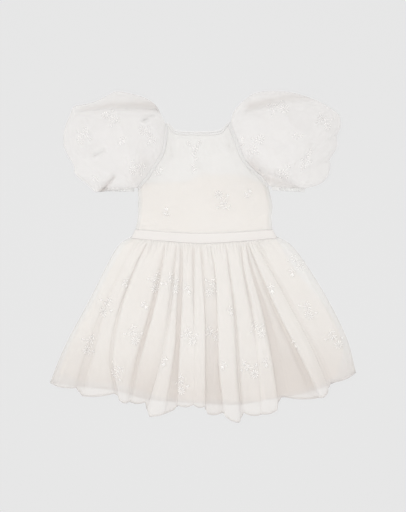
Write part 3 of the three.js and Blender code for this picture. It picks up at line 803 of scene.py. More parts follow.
def skirt_shade_and_hem_tone(fold, row, v, reach, round_left, round_right):
    """How much the organza's colour deepens, 0 to 1: painted shade in valleys and folds, and more
    towards the hem.
    """
    tones = between(DOWN, VALLEY_PAINTED_SHADE, reach)
    gap = np.maximum(tones[fold, row] * (1 - eased(round_left, 0.2, 0.9)),
                     tones[fold + 1, row] * (1 - eased(round_right, 0.2, 0.9)))
    own = between(DOWN, FOLD_PAINTED_SHADE, reach)[fold, row]
    gap = np.maximum(gap, own) * eased(v, 0.01, 0.08) + HEM_TONE * eased(v, 0.6, 1)
    return np.clip(gap + PAST_LINING_TONE * eased(v, 0.86, 0.95), 0, 1)


def skirt_front():
    """Flat-topped folds between the valleys. From a valley's open floor a fold rises in a quarter
    round of its own reach on each side, with a slight dome on top, and higher points shift
    towards the side it leans to. Columns lie closer together near the valleys."""
    k = np.arange(FOLD_COUNT * FOLD_COLUMNS + 1)
    fold_of = np.minimum(k // FOLD_COLUMNS, FOLD_COUNT - 1)
    share = (k - fold_of * FOLD_COLUMNS) / FOLD_COLUMNS
    share = mix(share, waves(share, 0.5), 0.65)
    down = np.linspace(0, 1, FRONT_ROWS)
    across, v = np.meshgrid(share, down)
    fold = np.broadcast_to(fold_of, v.shape)
    row = np.arange(len(down))[:, None]
    lines = valley_x(down)
    left, right = lines[fold, row], lines[fold + 1, row]
    width = np.maximum(right - left, 1)
    x_flat = mix(left, right, across)
    x_at_waist = mix(VALLEYS[fold, 0], VALLEYS[fold + 1, 0], across)
    reach = np.clip(down, DOWN[0], 1)
    crests = RELIEF * between(DOWN, CRESTS, reach)[fold, row]
    floors = between(DOWN, VALLEY_FLOORS, reach)
    floor = mix(floors[fold, row], floors[fold + 1, row], eased(across, 0, 1))
    widths = between(DOWN, VALLEY_WIDTHS, reach)
    gap_left = np.minimum(widths[fold, row] * (1 - LEFT_OF_LINE[fold]), 0.42 * width)
    gap_right = np.minimum(widths[fold + 1, row] * LEFT_OF_LINE[fold + 1], 0.42 * width)
    from_left = np.maximum(across * width - gap_left, 0)
    from_right = np.maximum((1 - across) * width - gap_right, 0)
    free = width - gap_left - gap_right
    round_left = quarter_round(from_left, np.minimum(FOLDS[fold, 2], 0.5 * free))
    round_right = quarter_round(from_right, np.minimum(FOLDS[fold, 3], 0.5 * free))
    dome = 0.88 + 0.12 * np.sin(np.pi * np.clip(from_left / free, 0, 1))
    hump = round_left * round_right * dome
    height = floor + (crests - floor) * hump
    lean = FOLDS[fold, 4]
    x = x_flat + LEAN_SHIFT * lean * (crests - floor) * hump
    y = mix(waist_y(x_at_waist) + TUCK, hem_y(fold, across), v)
    u_even = (fold + across) / FOLD_COUNT
    loose = eased(v, 0.03, 0.25) * (0.25 + 0.75 * hump)
    uneven = 0.8 * soft_unevenness(u_even, v, 38, 5, 11) + 0.35 * soft_unevenness(u_even, v, 80, 14, 12)
    full = FRONT_Z + BAND_LIFT + FREE_LIFT * eased(v, 0, 0.3) + height + uneven * loose
    gathers = gathers_at(x_at_waist, v)
    full -= np.minimum(gathers, 1 + height)
    puffed = FRONT_Z - 0.1 + (1.5 - np.minimum(gathers, 1.5)) * eased(v, 0.008, 0.02)
    tucked = mix(puffed, full, eased(v, 0.012, 0.05))
    side = np.minimum(x - lines[0][:, None], lines[-1][:, None] - x)
    z = mix(EDGE_Z, tucked, eased(side, 0.5, SIDE_ROUND))
    # The painted shade in the pleats' gaps and on some folds, with the deeper tone towards the hem
    tone = skirt_shade_and_hem_tone(fold, row, v, reach, round_left, round_right)
    return Cloth(np.dstack([x, y, z])), tone


def skirt_back():
    """The same fan between its side edges, lying low on the floor in shallow flattened folds."""
    u, v = share_grid(*BACK_GRID)
    lines = valley_x(v[:, 0])
    left, right = lines[0][:, None], lines[-1][:, None]
    x = mix(left, right, u)
    y = mix(waist_y(mix(lines[0, 0], lines[-1, 0], u)) + TUCK, edge(HEM_BACK)(u)[..., 1], v)
    wandering = u + 0.012 * soft_unevenness(u, v, 12, 3, 21)
    folds = waves(wandering, BACK_FOLDS)
    fine = waves(wandering, BACK_GATHERS)
    side = eased(to_end(u), 0, 0.03)
    rise = side * (folds ** 1.5 * 0.75 * eased(v, 0, 0.5) + fine * 0.6 * (1 - eased(v, 0, 0.35)))
    return Cloth(np.dstack([x, y, BACK_Z + rise]))


def skirt_lining(height, wave_height, seed):
    """Inside the side folds and shorter than the sheer cloth, in low waves towards its hem."""
    u, v = share_grid(220, 60)
    lines = valley_x(v[:, 0])
    inset_left = between(INSET_STATIONS, INSET_LEFT, v[:, 0])[:, None]
    inset_right = between(INSET_STATIONS, INSET_RIGHT, v[:, 0])[:, None]
    x = mix(lines[0][:, None] + inset_left, lines[-1][:, None] - inset_right, u)
    hem = edge(LINING_HEM)(u)[..., 1] + 3 * soft_unevenness(u, v, 14, 1, seed + 2)
    y = mix(waist_y(mix(lines[0, 0], lines[-1, 0], u)) + TUCK, hem, v)
    wandering = u + 0.01 * soft_unevenness(u, v, 10, 3, seed)
    ripple = waves(wandering, LINING_WAVES)
    inside = quarter_round(to_end(u), 0.06)
    rise = wave_height * ripple * eased(v, 0.1, 0.6) * inside
    rise += wave_height * 0.2 * inside * eased(v, 0.05, 0.3) * soft_unevenness(u, v, 26, 6, seed + 1)
    return Cloth(np.dstack([x, y, height + rise]))


def set_shade_and_hem_tone(piece, gap):
    """The attribute that the organza's painted shade and deeper hem tone follow, the same on both of
    its faces.
    """
    attribute = piece.data.attributes.new("painted_shade_and_hem_tone", "FLOAT", "POINT")
    attribute.data.foreach_set("value", np.tile(gap.ravel(), 2).astype(np.float32))


front_skirt, front_shade_and_hem_tone = skirt_front()
skirt_front_piece = node_cloth("skirt_front", front_skirt, SHEER, organza_warm, "sheer_cloth")
# Painted shade in the pleats' gaps, and the deeper tone towards the hem
set_shade_and_hem_tone(skirt_front_piece, front_shade_and_hem_tone)
skirt_back_piece = node_cloth("skirt_back", skirt_back(), SHEER, organza_warm, "sheer_cloth")
set_shade_and_hem_tone(skirt_back_piece, BACK_HEM_TONE * eased(share_grid(*BACK_GRID)[1], 0.7, 0.95))
front_skirt_lining = skirt_lining(LINING_FRONT_Z, wave_height=1.8, seed=31)
back_skirt_lining = skirt_lining(LINING_BACK_Z, wave_height=0.25, seed=41)
node_cloth("skirt_lining_front", front_skirt_lining, LINING, lawn, "lining_cloth")
node_cloth("skirt_lining_back", back_skirt_lining, LINING, lawn, "lining_cloth")


# Waistband

BAND_WIDTH = 310
# How far in from its ends the band rounds up onto the bodice and skirt
BAND_SIDE_ROUND = 9


def waistband(front):
    """A strip between the bodice seam and the skirt, rounded over its width like a turned band."""
    u, v = share_grid(200, 12)
    high, low = waist_seam(u) + np.array([0, 1.0]), band_edge(u) - np.array([0, 0.5])
    flat = mix(low, high, v[..., None])
    round_over = np.clip(1 - (2 * v - 1) ** 4, 0, 1)
    if not front:
        return Cloth(np.dstack([flat, np.full_like(v, BAND_BACK_Z)]))
    side = quarter_round(to_end(u) * BAND_WIDTH, BAND_SIDE_ROUND)
    pucker = (0.2 * soft_unevenness(u, v, 60, 1, 51) * (1 - v)
              + 0.15 * soft_unevenness(u, v, 18, 2, 52))
    lift = mix(0.15, -0.25, v)
    z = mix(EDGE_Z + 0.2, FRONT_Z + lift, side) + 0.25 * round_over
    z += pucker * side * np.minimum(1, 6 * v)
    return Cloth(np.dstack([flat, z]))


node_cloth("waistband_front", waistband(True), BAND_FRONT, doubled, "band_cloth")
node_cloth("waistband_back", waistband(False), BAND_BACK, doubled, "band_cloth")


# Sleeves

# Gathers at the head and at the cuff, and low folds on the underside
HEAD_GATHERS = 12
UNDER_FOLDS = 15
# How high the sleeve's lowest cloth lies over the floor
UNDER_Z = 0.35
# How high the rim may stand at most on the side of the underarm
UNDERARM_RIM = 4
# About what the crisp folds add to a puff's height on average, which is taken off again
FACET_MEAN = 3
# The casing: its length, how much of it lies inside the sleeve, and the small puckers round it
CUFF_LENGTH = 8.5
CUFF_OVERLAP = 1.5
CUFF_PUCKERS = 40


def puff_sleeve(outline, armhole, underarm, cuff_line, creases, folds, seed):
    """Rings from the underarm seam over the top to the puff's rim and back below it. A ring's
    height is a flattened half sine on its top and flat on the floor below, with gathers at both
    ends and crisp folds between them."""
    u, s = share_grid(220, 110)
    outward = math.copysign(1, outline[1, 0])
    flat = patch(edge(armhole + np.array([outward, 1])), edge(cuff_line), edge(underarm),
                 edge(outline))
    angle = 2 * np.pi * u
    across = waves(u, 1)
    swell = np.abs(np.sin(angle))
    places = flat(across, s)
    x, y = places[..., 0], places[..., 1]
    top = between(PUFF_ALONG, PUFF_TOP, s[:, 0])[:, None]
    rim = between(PUFF_ALONG, PUFF_RIM, s[:, 0])[:, None]
    rim_here = mix(np.minimum(rim, UNDERARM_RIM), rim, across)
    drift = across + 0.02 * soft_unevenness(across, s, 14, 4, seed)
    head = np.cos(2 * np.pi * HEAD_GATHERS * drift) * (1 - eased(s, 0.02, 0.2))
    cuff = np.cos(2 * np.pi * HEAD_GATHERS * drift + 1) * eased(s, 0.84, 0.99)
    patchy = 0.35 + 0.65 * eased(soft_unevenness(across, s, 7, 1, seed + 5), -0.5, 0.7)
    gather = (0.6 * (1 - head) * patchy + 0.8 * (1 - cuff)) * swell * eased(s, 0, 0.06)
    pressed = eased(swell, 0.1, 0.6) * eased(s, 0.03, 0.16) * (1 - eased(s, 0.85, 0.97))
    folded = eased(swell, 0.05, 0.4) * eased(s, 0.01, 0.1) * (1 - eased(s, 0.93, 1))
    warp = soft_unevenness(across, s, 5, 5, seed + 9)
    crumple = (0.96 * soft_unevenness(across, s, 6, 6, seed + 1)
               + 0.42 * soft_unevenness(across, s, 13, 12, seed + 2)
               + facets(x, y, warp, folds) - FACET_MEAN)
    over = (rim_here + (top - rim_here) * swell ** 0.8 + gather + crumple * pressed
            - folded * creases_at(creases, x, y))
    clear = np.maximum(1 - swell / 0.7, 0) ** 2
    low_folds = 0.5 * waves(drift, UNDER_FOLDS) * eased(swell, 0.1, 0.7)
    under = mix(UNDER_Z + low_folds, np.maximum(rim_here, UNDER_Z), clear)
    z = np.where(angle < np.pi, over, under)
    points = np.dstack([x, y, z])
    points[:, -1] = points[:, 0]
    return Cloth(points, wrapped=True)


def cuff_casing(sleeve):
    """A narrow doubled casing that carries on from the sleeve's last ring, with a soft bulge."""
    u, t = share_grid(220, 6)
    last = sleeve.points[-1]
    points = np.repeat(last[None], len(t), axis=0).copy()
    points[..., 1] += CUFF_OVERLAP - CUFF_LENGTH * t
    normal = sleeve.normals[-1].copy()
    normal[:, 1] = 0
    normal /= np.maximum(np.linalg.norm(normal, axis=1, keepdims=True), 1e-9)
    bulge = 0.35 + 0.5 * np.sqrt(np.clip(1 - (2 * t - 1) ** 4, 0, 1))
    pinch = 0.3 * np.cos(2 * np.pi * CUFF_PUCKERS * u)
    flattened = np.where(last[:, 2] < 1, 0.2, 1)[None, :, None]
    points += normal[None] * (bulge + pinch)[..., None] * flattened
    points[:, -1] = points[:, 0]
    return Cloth(points, wrapped=True)


SLEEVES = {
    "left": (SLEEVE_OUTLINE_LEFT, ARMHOLE_LEFT, UNDERARM_LEFT, CUFF_LINE_LEFT, CREASES_LEFT,
             PUFF_FACETS_LEFT, 61),
    "right": (SLEEVE_OUTLINE_RIGHT, ARMHOLE_RIGHT, UNDERARM_RIGHT, CUFF_LINE_RIGHT, CREASES_RIGHT,
              PUFF_FACETS_RIGHT, 71)}
PAINTED_SLEEVE_SHADE = {"left": PAINTED_SHADE_LEFT, "right": PAINTED_SHADE_RIGHT}
for side, tables in SLEEVES.items():
    sleeve = puff_sleeve(*tables)
    sleeve_piece = node_cloth(f"sleeve_{side}", sleeve, SHEER, organza, "sheer_cloth")
    # Painted shade along the sleeve's creases, in the organza's colour
    set_shade_and_hem_tone(sleeve_piece, creases_at(PAINTED_SLEEVE_SHADE[side], sleeve.points[:, :-1, 0], sleeve.points[:, :-1, 1]))
for side in SLEEVES:
    casing = cuff_casing(cloths[f"sleeve_{side}"])
    node_cloth(f"cuff_{side}", casing, CASING, allowance, "band_cloth", "casing")


# Bindings and seam allowances: strips along a curve, with a rounded top

def strip_along(curve, inner, outer, height, crown, columns=120, ridges=1, arch=0.0):
    """A strip between two distances to the left of a curve, its top in one or more low ridges, and
    raised by half a sine from end to end, as high as arch."""
    u, v = share_grid(columns, 4 + 4 * ridges)
    line = curve(np.linspace(0, 1, columns + 1))
    tangent = np.gradient(line, axis=0)
    tangent /= np.linalg.norm(tangent, axis=1, keepdims=True)
    side = np.stack([-tangent[:, 1], tangent[:, 0]], -1)
    flat = line[None] + side[None] * mix(inner, outer, v)[..., None]
    ridge = np.abs(np.sin(np.pi * ridges * v))
    return Cloth(np.dstack([flat, height + arch * np.sin(np.pi * u) + crown * ridge]))


# How far the neck binding reaches past the neck edge, and onto the bodice if negative
NECK_REACH = (-1.0, 2.6)

neck_front = strip_along(edge(NECK_FRONT), *NECK_REACH, height=1.9, crown=0.3)
neck_back = strip_along(edge(NECK_BACK), *NECK_REACH, height=0.5, crown=0.4)
node_cloth("neck_binding_front", neck_front, BINDING, allowance, "band_cloth")
node_cloth("neck_binding_back", neck_back, BINDING, allowance, "band_cloth")

# The seam round each armhole: a front strip that follows the sleeve's head and a low one behind
armhole_seams = {}
for side, table, sign in (("left", ARMHOLE_LEFT, 1), ("right", ARMHOLE_RIGHT, -1)):
    curve = edge(table + np.array([1.1 * sign, -0.7]))
    high = strip_along(curve, -3.2, 3.2, height=2.5, crown=0.35, ridges=2, arch=1.4)
    low = strip_along(curve, -3.0, 3.0, height=0.45, crown=0.15, ridges=2)
    armhole_seams[side] = (high, low)
    cloth_piece(f"armhole_seam_{side}_front", high, SEAM, allowance, "sheer_cloth")
    cloth_piece(f"armhole_seam_{side}_back", low, TURNED, allowance, "sheer_cloth")


# Hems turned inwards, and the seams that join front and back at the sides

# How far a turned hem lies from its cloth, and a side seam's middle inside the outline
HEM_DEPTH = 0.6
SEAM_INSET = 2.0
SEAM_HALF_WIDTH = 1.4


def turned_hem(name, cloth, width, inward, material, slot):
    """A strip as wide as the hem along the cloth's last rows, just inside it."""
    columns = cloth.points.shape[1] - 1
    u, t = share_grid(columns, 3)
    v = 1 - (1 - t) * width / cloth.along[-1][None]
    strip = Cloth(cloth.at(u, v, inward * HEM_DEPTH * np.ones_like(u)))
    cloth_piece(name, strip, TURNED, material, slot)


def side_seam(name, line, height):
    """A narrow pressed seam along a side, where the front and the back meet."""
    strip = strip_along(line, -SEAM_HALF_WIDTH, SEAM_HALF_WIDTH, height, crown=0.25, columns=60)
    cloth_piece(name, strip, SEAM, allowance, "sheer_cloth")


# Each hem: its width, the side of the cloth that it is turned to, its material and its slot
HEMS = {"skirt_front": (5, -1, organza_hem, "sheer_cloth"),
        "skirt_back": (5, 1, organza_hem, "sheer_cloth"),
        "skirt_lining_front": (9, -1, lawn, "lining_cloth"),
        "skirt_lining_back": (9, -1, lawn, "lining_cloth")}
for node, (width, inward, material, slot) in HEMS.items():
    turned_hem(f"{node}_hem", cloths[node], width, inward, material, slot)

SIDE_DOWN = np.linspace(0, 1, 16) ** 2
for side, last, hem, sign in (("left", 0, FOLDS[0, 0], 1), ("right", -1, FOLDS[-1, 1], -1)):
    waist = waist_y(np.array(VALLEYS[last, 0])) + TUCK
    outline = np.stack([valley_x(SIDE_DOWN)[last], mix(waist, hem, SIDE_DOWN)], -1)
    inside = outline + np.array([SEAM_INSET * sign, 0])
    side_seam(f"skirt_side_seam_{side}", edge(inside[::-1]), height=1.0)
for side, table, sign in (("left", SIDE_LEFT, 1), ("right", SIDE_RIGHT, -1)):
    side_seam(f"bodice_side_seam_{side}", edge(table + np.array([SEAM_INSET * sign, 0])), height=1.1)


# Stitches: short diamond-shaped threads in rows

# Sewing cotton: matt ivory thread in small even stitches, seen as faint dotted lines.
sewing = woven("cotton_sewing_thread", "#fbf8f3", "#f4f0ea", 1.0, 0.4, 0.2, 0.8, 0.1)

# How far apart the stitches are, and their size
PITCH = 3.2
STITCH_LENGTH = 2.3
STITCH_HALF_WIDTH = 0.28
# How high a stitch's middle stands over its tips, and how deep it hangs below them
STITCH_RISE = 0.12
STITCH_SAG = 0.1


def stitch_row(cloth, u, v, height):
    """Diamonds along the path u, v on the cloth: each has two tips and a ring of four points."""
    line = cloth.at(u, v, height + 0 * u)
    out = cloth.at(u, v, np.sign(height) * (np.abs(height) + 1) + 0 * u) - line
    run = np.r_[0, np.cumsum(np.linalg.norm(np.diff(line, axis=0), axis=1))]
    places = np.arange(PITCH, run[-1] - PITCH, PITCH)

    def read(values, at):
        return np.stack([np.interp(at, run, values[:, k]) for k in range(3)], -1)
    middle, outward = read(line, places), read(out, places)
    start = read(line, places - STITCH_LENGTH / 2)
    end = read(line, places + STITCH_LENGTH / 2)
    across = np.cross(end - start, outward)
    across *= STITCH_HALF_WIDTH / np.maximum(np.linalg.norm(across, axis=1, keepdims=True), 1e-9)
    return np.stack([start, middle + across, middle + outward * STITCH_RISE, middle - across,
                     middle - outward * STITCH_SAG, end], 1)


STITCH_FACES = np.array([(0, 1, 2), (0, 2, 3), (0, 3, 4), (0, 4, 1),
                         (5, 2, 1), (5, 3, 2), (5, 4, 3), (5, 1, 4)])


def stitches(name, *rows):
    """All stitches of some rows as one piece."""
    every = np.concatenate(rows)
    count = len(every)
    faces = (STITCH_FACES[None] + 6 * np.arange(count)[:, None, None]).reshape(-1, 3)
    along = np.array([-1.1, 0, 0, 0, 0, 1.1])
    over = np.array([0, 0.3, 0, -0.3, 0, 0])
    uv = np.tile(np.stack([along, over], -1), (count, 1))
    piece = mesh_object(name, every.reshape(-1, 3), faces, uv, sewing)


def hem_row(cloth, up, height):
    """Stitches all along the cloth, a distance up from its hem."""
    u = np.linspace(0.003, 0.997, cloth.points.shape[1] * 2)
    length = np.interp(u, np.linspace(0, 1, cloth.points.shape[1]), cloth.along[-1])
    return stitch_row(cloth, u, 1 - up / length, height)


def seam_row(cloth, v, height):
    """Stitches all along the cloth, at a share of its width."""
    u = np.linspace(0.01, 0.99, cloth.points.shape[1] * 2)
    return stitch_row(cloth, u, v + 0 * u, height)


# Each row: up from the hem, and out from the middle of the cloth, which is below it if negative
HEM_ROWS = {"skirt_front": (4.2, 0.3), "skirt_back": (4.2, -0.3), "skirt_lining_front": (8, 0.3),
            "skirt_lining_back": (8, -0.3)}
# The same on narrow pieces, with the share of their width in the first place
SEAM_ROWS = {"waistband_front": (0.13, 0.58), "waistband_back": (0.13, -0.52),
             "neck_binding_front": (0.25, 0.4), "neck_binding_back": (0.25, -0.36),
             "cuff_left": (0.2, 0.5), "cuff_right": (0.2, 0.5)}
for node, (up, height) in HEM_ROWS.items():
    stitches(f"{node}_stitches", hem_row(cloths[node], up, height))
for node, (share, height) in SEAM_ROWS.items():
    stitches(f"{node}_stitches", seam_row(cloths[node], share, height))
for side, (high, low) in armhole_seams.items():
    stitches(f"armhole_stitches_{side}", seam_row(high, 0.5, 0.3), seam_row(low, 0.5, -0.25))


# Embroidery: leaves, petals, buds and stems are spindles laid on the cloth

# Each spindle: from, to, half its width, its height and how far it bends to its left, in mm
STEM = [(0, -19, -1.5, -8, 0.35, 0.5, 1.0), (-1.5, -8, 1, 2, 0.35, 0.5, -1.2)]
LEAVES = [(-0.6, -14, -7, -10.5, 1.0, 0.6, -1.2), (-0.4, -15, 5.5, -13, 0.9, 0.6, 1.2),
          (-1.4, -8, 5.5, -6.5, 0.9, 0.6, 1.2), (-1.2, -6, -6.5, -1.5, 1.0, 0.6, -1.0)]
SIDE_STEMS = [(-1.4, -9, -10.5, -5.5, 0.3, 0.4, -1.6), (-1, -5, 9.5, -0.5, 0.3, 0.4, 1.6)]
BUDS = [(-10.5, -5.5, -14.5, -3.4, 1.2, 0.7, 0.3), (-12, -4.4, -15.2, -6.2, 0.9, 0.6, -0.3),
        (9.5, -0.5, 13.4, 2.2, 1.2, 0.7, 0.3), (10.5, 0.2, 14.4, 0, 0.9, 0.6, -0.3)]


def petals(x, y, inner, outer, half_width, count, turn):
    """Petals round a middle, as spindles."""
    turns = [turn + 2 * math.pi * k / count for k in range(count)]
    return [(x + inner * math.cos(a), y + inner * math.sin(a), x + outer * math.cos(a),
             y + outer * math.sin(a), half_width, 0.7, 0.0) for a in turns]


FLOWER = (petals(1.5, 9, 1.6, 7.4, 0.65, 5, 0.04) + petals(1.5, 9, 1.6, 7.4, 0.65, 5, 0.56)
          + petals(1.5, 9, 2.0, 5.2, 0.3, 5, 0.93) + [(0.6, 9, 2.4, 9, 0.8, 0.9, 0)])
SPRIG = np.array(STEM + LEAVES + SIDE_STEMS + BUDS + FLOWER, float)
BUD_SPRIG = np.array([(0, -10, 0.8, 1, 0.35, 0.5, 0.8), (0.2, -5, -5.5, -1, 1.2, 0.6, -0.8),
                      (0.4, -6, 5.6, -3.2, 1.2, 0.6, 0.8), (0.8, 1, -1.6, 7, 1.2, 0.7, -0.4),
                      (0.8, 1, 3.4, 6.6, 1.2, 0.7, 0.4), (0.8, 1, 0.9, 8.6, 1.1, 0.8, 0)], float)
NECK_STEM = np.array([(-8, 18, 0, 8, 0.35, 0.5, -1.5), (8, 20, 0, 8, 0.35, 0.5, 1.5),
                      (0, 8, -2, -14, 0.4, 0.5, 1.2), (-2, -14, -3, -38, 0.4, 0.5, -1.2),
                      (-1, -4, -8, 1, 1.3, 0.6, -1), (-1.6, -12, 5, -7, 1.3, 0.6, 1),
                      (-2.4, -24, -8, -19, 1.2, 0.6, -1), (-2.8, -32, 3, -27, 1.1, 0.6, 1)]
                     + petals(0, 10, 1.4, 6.4, 1.8, 5, 1.4) + petals(-12, 20, 0.6, 4.0, 1.1, 4, 0.5)
                     + petals(12, 22, 0.6, 4.0, 1.1, 4, 0.2), float)

# Where a spindle's three rings lie on its length, and how many points each has
RINGS_AT = [0.16, 0.5, 0.84]
SIDES = 6
RING = np.arange(SIDES)


def spindle_faces():
    """A fan at each tip and two bands of triangles between the three rings."""
    after = (RING + 1) % SIDES
    first, last = 1, 1 + 3 * SIDES
    fan_in = np.stack([0 * RING, first + after, first + RING], -1)
    fan_out = np.stack([last + 0 * RING, last - SIDES + RING, last - SIDES + after], -1)
    bands = []
    for k in range(2):
        a, b = first + k * SIDES + RING, first + k * SIDES + after
        bands += [np.stack([a, b, b + SIDES], -1), np.stack([a, b + SIDES, a + SIDES], -1)]
    return np.concatenate([fan_in, *bands, fan_out])


SPINDLE_FACES = spindle_faces()
SPINDLE_POINTS = 2 + 3 * SIDES


def spindles(table):
    """Each row's points, right, up and out of the cloth: a bent axis with oval rings round it."""
    start, end = table[:, 0:2], table[:, 2:4]
    half, high, bend = table[:, 4], table[:, 5], table[:, 6]
    run = end - start
    length = np.linalg.norm(run, axis=1)
    along = run / length[:, None]
    left = np.stack([-along[:, 1], along[:, 0]], -1)
    turn = 2 * np.pi * RING / SIDES
    t = np.r_[0, np.repeat(RINGS_AT, SIDES), 1]
    fat = np.sin(np.pi * t) ** 0.6
    over = np.r_[0, np.tile(np.cos(turn), 3), 0] * fat
    out = np.r_[0, np.tile(np.sin(turn), 3), 0] * fat
    aside = over * half[:, None] + bend[:, None] * np.sin(np.pi * t)
    place = (start[:, None] + along[:, None] * (t * length[:, None])[..., None]
             + left[:, None] * aside[..., None])
    uv = np.stack([t * length[:, None], over * half[:, None]], -1)
    return place, out * high[:, None], uv


# How high the threads' middle lies over the middle of the cloth, and what part of a spindle's
# height in the tables is drawn
THREAD_Z = 0.3
THREAD_RELIEF = 0.18


def embroider(name, cloth, places, side=1, low=0.0, high=1.0):
    """Sprigs laid on a cloth: X, Y, turn, size and motif of each, following its folds."""
    every, flat = [], []
    for x, y, turn, size, motif in places:
        place, out, uv = spindles(motif)
        u, v = cloth.nearest(x, y, low, high)
        c, n = math.cos(turn) * size, math.sin(turn) * size
        right = c * place[..., 0] - n * place[..., 1]
        up = n * place[..., 0] + c * place[..., 1]
        u, v = cloth.wrapped_in(u, v, right, up)
        every.append(cloth.at(u, v, side * (THREAD_Z + THREAD_RELIEF * out)).reshape(-1, 3))
        flat.append(uv.reshape(-1, 2) * size)
    points = np.concatenate(every)
    count = len(points) // SPINDLE_POINTS
    faces = (SPINDLE_FACES[None] + SPINDLE_POINTS * np.arange(count)[:, None, None]).reshape(-1, 3)
    if side < 0:
        faces = faces[:, ::-1]
    piece = mesh_object(name, points, faces, np.concatenate(flat), thread)


def scattered(table, seed):
    """Sprigs at the table's X and Y, each turned and sized a little differently."""
    rng = np.random.default_rng(seed)
    return [(x, y, rng.uniform(-0.9, 0.9), rng.uniform(1.3, 1.5), SPRIG if full else BUD_SPRIG)
            for x, y, full in table]


SKIRT_SPRIGS = [(-104, -57, 1), (-67, -60, 1), (-34, -73, 0), (19, -66, 1), (208, -11, 1),
                (197, -33, 0), (-151, -172, 1), (-28, -176, 1), (23, -172, 1), (120, -161, 1),
                (230, -117, 1), (291, -183, 1), (-192, -253, 1), (-50, -282, 1), (104, -249, 1),
                (138, -231, 0), (-214, -110, 1), (-250, -190, 1), (-128, -106, 0), (60, -118, 0),
                (150, -70, 0), (-86, -230, 0), (44, -238, 0), (200, -190, 0), (-170, -60, 0)]
BACK_SPRIGS = [(104, -50, 1), (50, -66, 1), (-10, -52, 1), (-80, -70, 1), (-150, -45, 0),
               (-196, -110, 1), (-120, -130, 1), (-50, -140, 1), (24, -128, 1), (96, -140, 1),
               (170, -110, 1), (230, -150, 1), (-262, -200, 1), (-190, -215, 1), (-112, -225, 1),
               (-30, -232, 1), (48, -236, 1), (126, -224, 1), (204, -226, 1), (286, -222, 1),
               (-150, -275, 0), (-70, -290, 0), (8, -296, 0), (90, -292, 0), (240, -268, 0)]
LEFT_TOP = [(-203, 306, 1), (-144, 196, 1), (-236, 170, 0), (-262, 262, 1), (-176, 252, 0),
            (-120, 268, 1)]
LEFT_UNDER = [(-200, 300, 1), (-150, 240, 1), (-240, 240, 1), (-190, 190, 1), (-130, 310, 0),
              (-262, 300, 0)]
RIGHT_TOP = [(164, 326, 1), (266, 297, 1), (116, 246, 1), (87, 250, 0), (223, 209, 1),
             (180, 184, 1), (206, 262, 0)]
RIGHT_UNDER = [(-x, y, full) for x, y, full in LEFT_UNDER]
BODICE_FRONT = scattered([(43, 125, 1), (-80, 100, 0), (100, 140, 0), (-96, 190, 0)], 5)
BODICE_FRONT.append((-16, 226, 0.0, 1.1, NECK_STEM))
BODICE_BACK = scattered([(-60, 120, 1), (50, 100, 1), (0, 190, 1), (-70, 230, 0), (60, 240, 0),
                         (100, 150, 0), (-108, 160, 0)], 6)

embroider("skirt_front_embroidery", cloths["skirt_front"], scattered(SKIRT_SPRIGS, 1))
embroider("skirt_back_embroidery", cloths["skirt_back"], scattered(BACK_SPRIGS, 2), -1)
embroider("bodice_front_embroidery", cloths["bodice_front"], BODICE_FRONT)
embroider("bodice_back_embroidery", cloths["bodice_back"], BODICE_BACK, -1)
# A sleeve's top is one half of each ring and its underside the other
for side, half, table, seed, low, high in (
        ("left", "top", LEFT_TOP, 3, 0.04, 0.46), ("left", "under", LEFT_UNDER, 4, 0.54, 0.96),
        ("right", "top", RIGHT_TOP, 7, 0.04, 0.46), ("right", "under", RIGHT_UNDER, 8, 0.54, 0.96)):
    embroider(f"sleeve_{side}_embroidery_{half}", cloths[f"sleeve_{side}"], scattered(table, seed),
              1, low, high)


# Floor, lights and camera

# The tent's brightness at heights from the horizon to straight above
TENT = ((0.02, 0.66), (0.2, 1.0), (0.5, 0.63), (1.0, 0.30))
LAMP_PLACE = (-0.45, 0.3, 2.4)
LAMP_AIM = (0.0, -0.06, 0.0)
SENSOR = 36
FOCAL_LENGTH = 128
# The photograph is 512 pixels high, at 2.2 mm a pixel on the dress, taken a little above the floor
FRAME_HIGH = 512 * 2.2 * MM
FRAME_Z = 0.015
FRAME_Y = 0.002


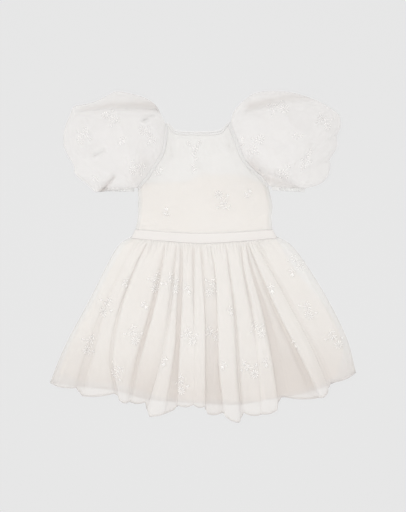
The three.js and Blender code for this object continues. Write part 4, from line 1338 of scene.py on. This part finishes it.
def pale_floor():
    """A large plain pale sheet of backdrop paper."""
    half, low = 4.0, -0.0004
    mesh = bpy.data.meshes.new("floor")
    mesh.from_pydata([(-half, -half, low), (half, -half, low), (half, half, low), (-half, half, low)],
                     [], [(0, 1, 2, 3)])
    paper = bpy.data.materials.new("backdrop_paper")
    paper.use_nodes = True
    surface = paper.node_tree.nodes["Principled BSDF"]
    surface.inputs["Base Color"].default_value = (0.05, 0.05, 0.05, 1)
    surface.inputs["Roughness"].default_value = 1.0
    surface.inputs["Specular IOR Level"].default_value = 0.0
    surface.inputs["Emission Color"].default_value = (1, 1, 1, 1)
    surface.inputs["Emission Strength"].default_value = 0.75
    mesh.materials.append(paper)
    floor = bpy.data.objects.new("floor", mesh)
    bpy.context.scene.collection.objects.link(floor)


def studio():
    """A light tent, brightest low above the horizon, and a broad soft lamp from above on the left."""
    world = bpy.data.worlds.new("studio")
    world.use_nodes = True
    tree = world.node_tree
    towards = tree.nodes.new("ShaderNodeTexCoord")
    split = tree.nodes.new("ShaderNodeSeparateXYZ")
    tent = tree.nodes.new("ShaderNodeValToRGB")
    tree.links.new(towards.outputs["Generated"], split.inputs[0])
    tree.links.new(split.outputs["Z"], tent.inputs[0])
    stops = tent.color_ramp.elements
    stops[0].position, stops[1].position = TENT[0][0], TENT[-1][0]
    for place, level in TENT[1:-1]:
        stops.new(place)
    for stop, (place, level) in zip(stops, TENT):
        stop.color = (level, level, level, 1)
    tree.links.new(tent.outputs["Color"], tree.nodes["Background"].inputs["Color"])
    tree.nodes["Background"].inputs["Strength"].default_value = 1.5
    bpy.context.scene.world = world
    lamp = bpy.data.lights.new("soft_lamp", "SPOT")
    lamp.energy = 91
    lamp.shadow_soft_size = 0.5
    lamp.spot_size = math.radians(42)
    lamp.spot_blend = 1.0
    holder = bpy.data.objects.new("soft_lamp", lamp)
    holder.location = LAMP_PLACE
    aim = np.array(LAMP_AIM) - np.array(holder.location)
    holder.rotation_euler = (0, math.acos(-aim[2] / np.linalg.norm(aim)), math.atan2(-aim[1], -aim[0]))
    bpy.context.scene.collection.objects.link(holder)
    bpy.context.scene.view_settings.view_transform = "Standard"


def camera():
    """Straight above, as far away as lets the frame's height hold FRAME_HIGH of the dress."""
    lens = bpy.data.cameras.new("camera")
    lens.sensor_fit = "AUTO"
    lens.sensor_width = SENSOR
    lens.lens = FOCAL_LENGTH
    holder = bpy.data.objects.new("camera", lens)
    holder.location = (0, FRAME_Y, FRAME_Z + FRAME_HIGH * FOCAL_LENGTH / SENSOR)
    bpy.context.scene.collection.objects.link(holder)
    bpy.context.scene.camera = holder


pale_floor()
studio()
camera()
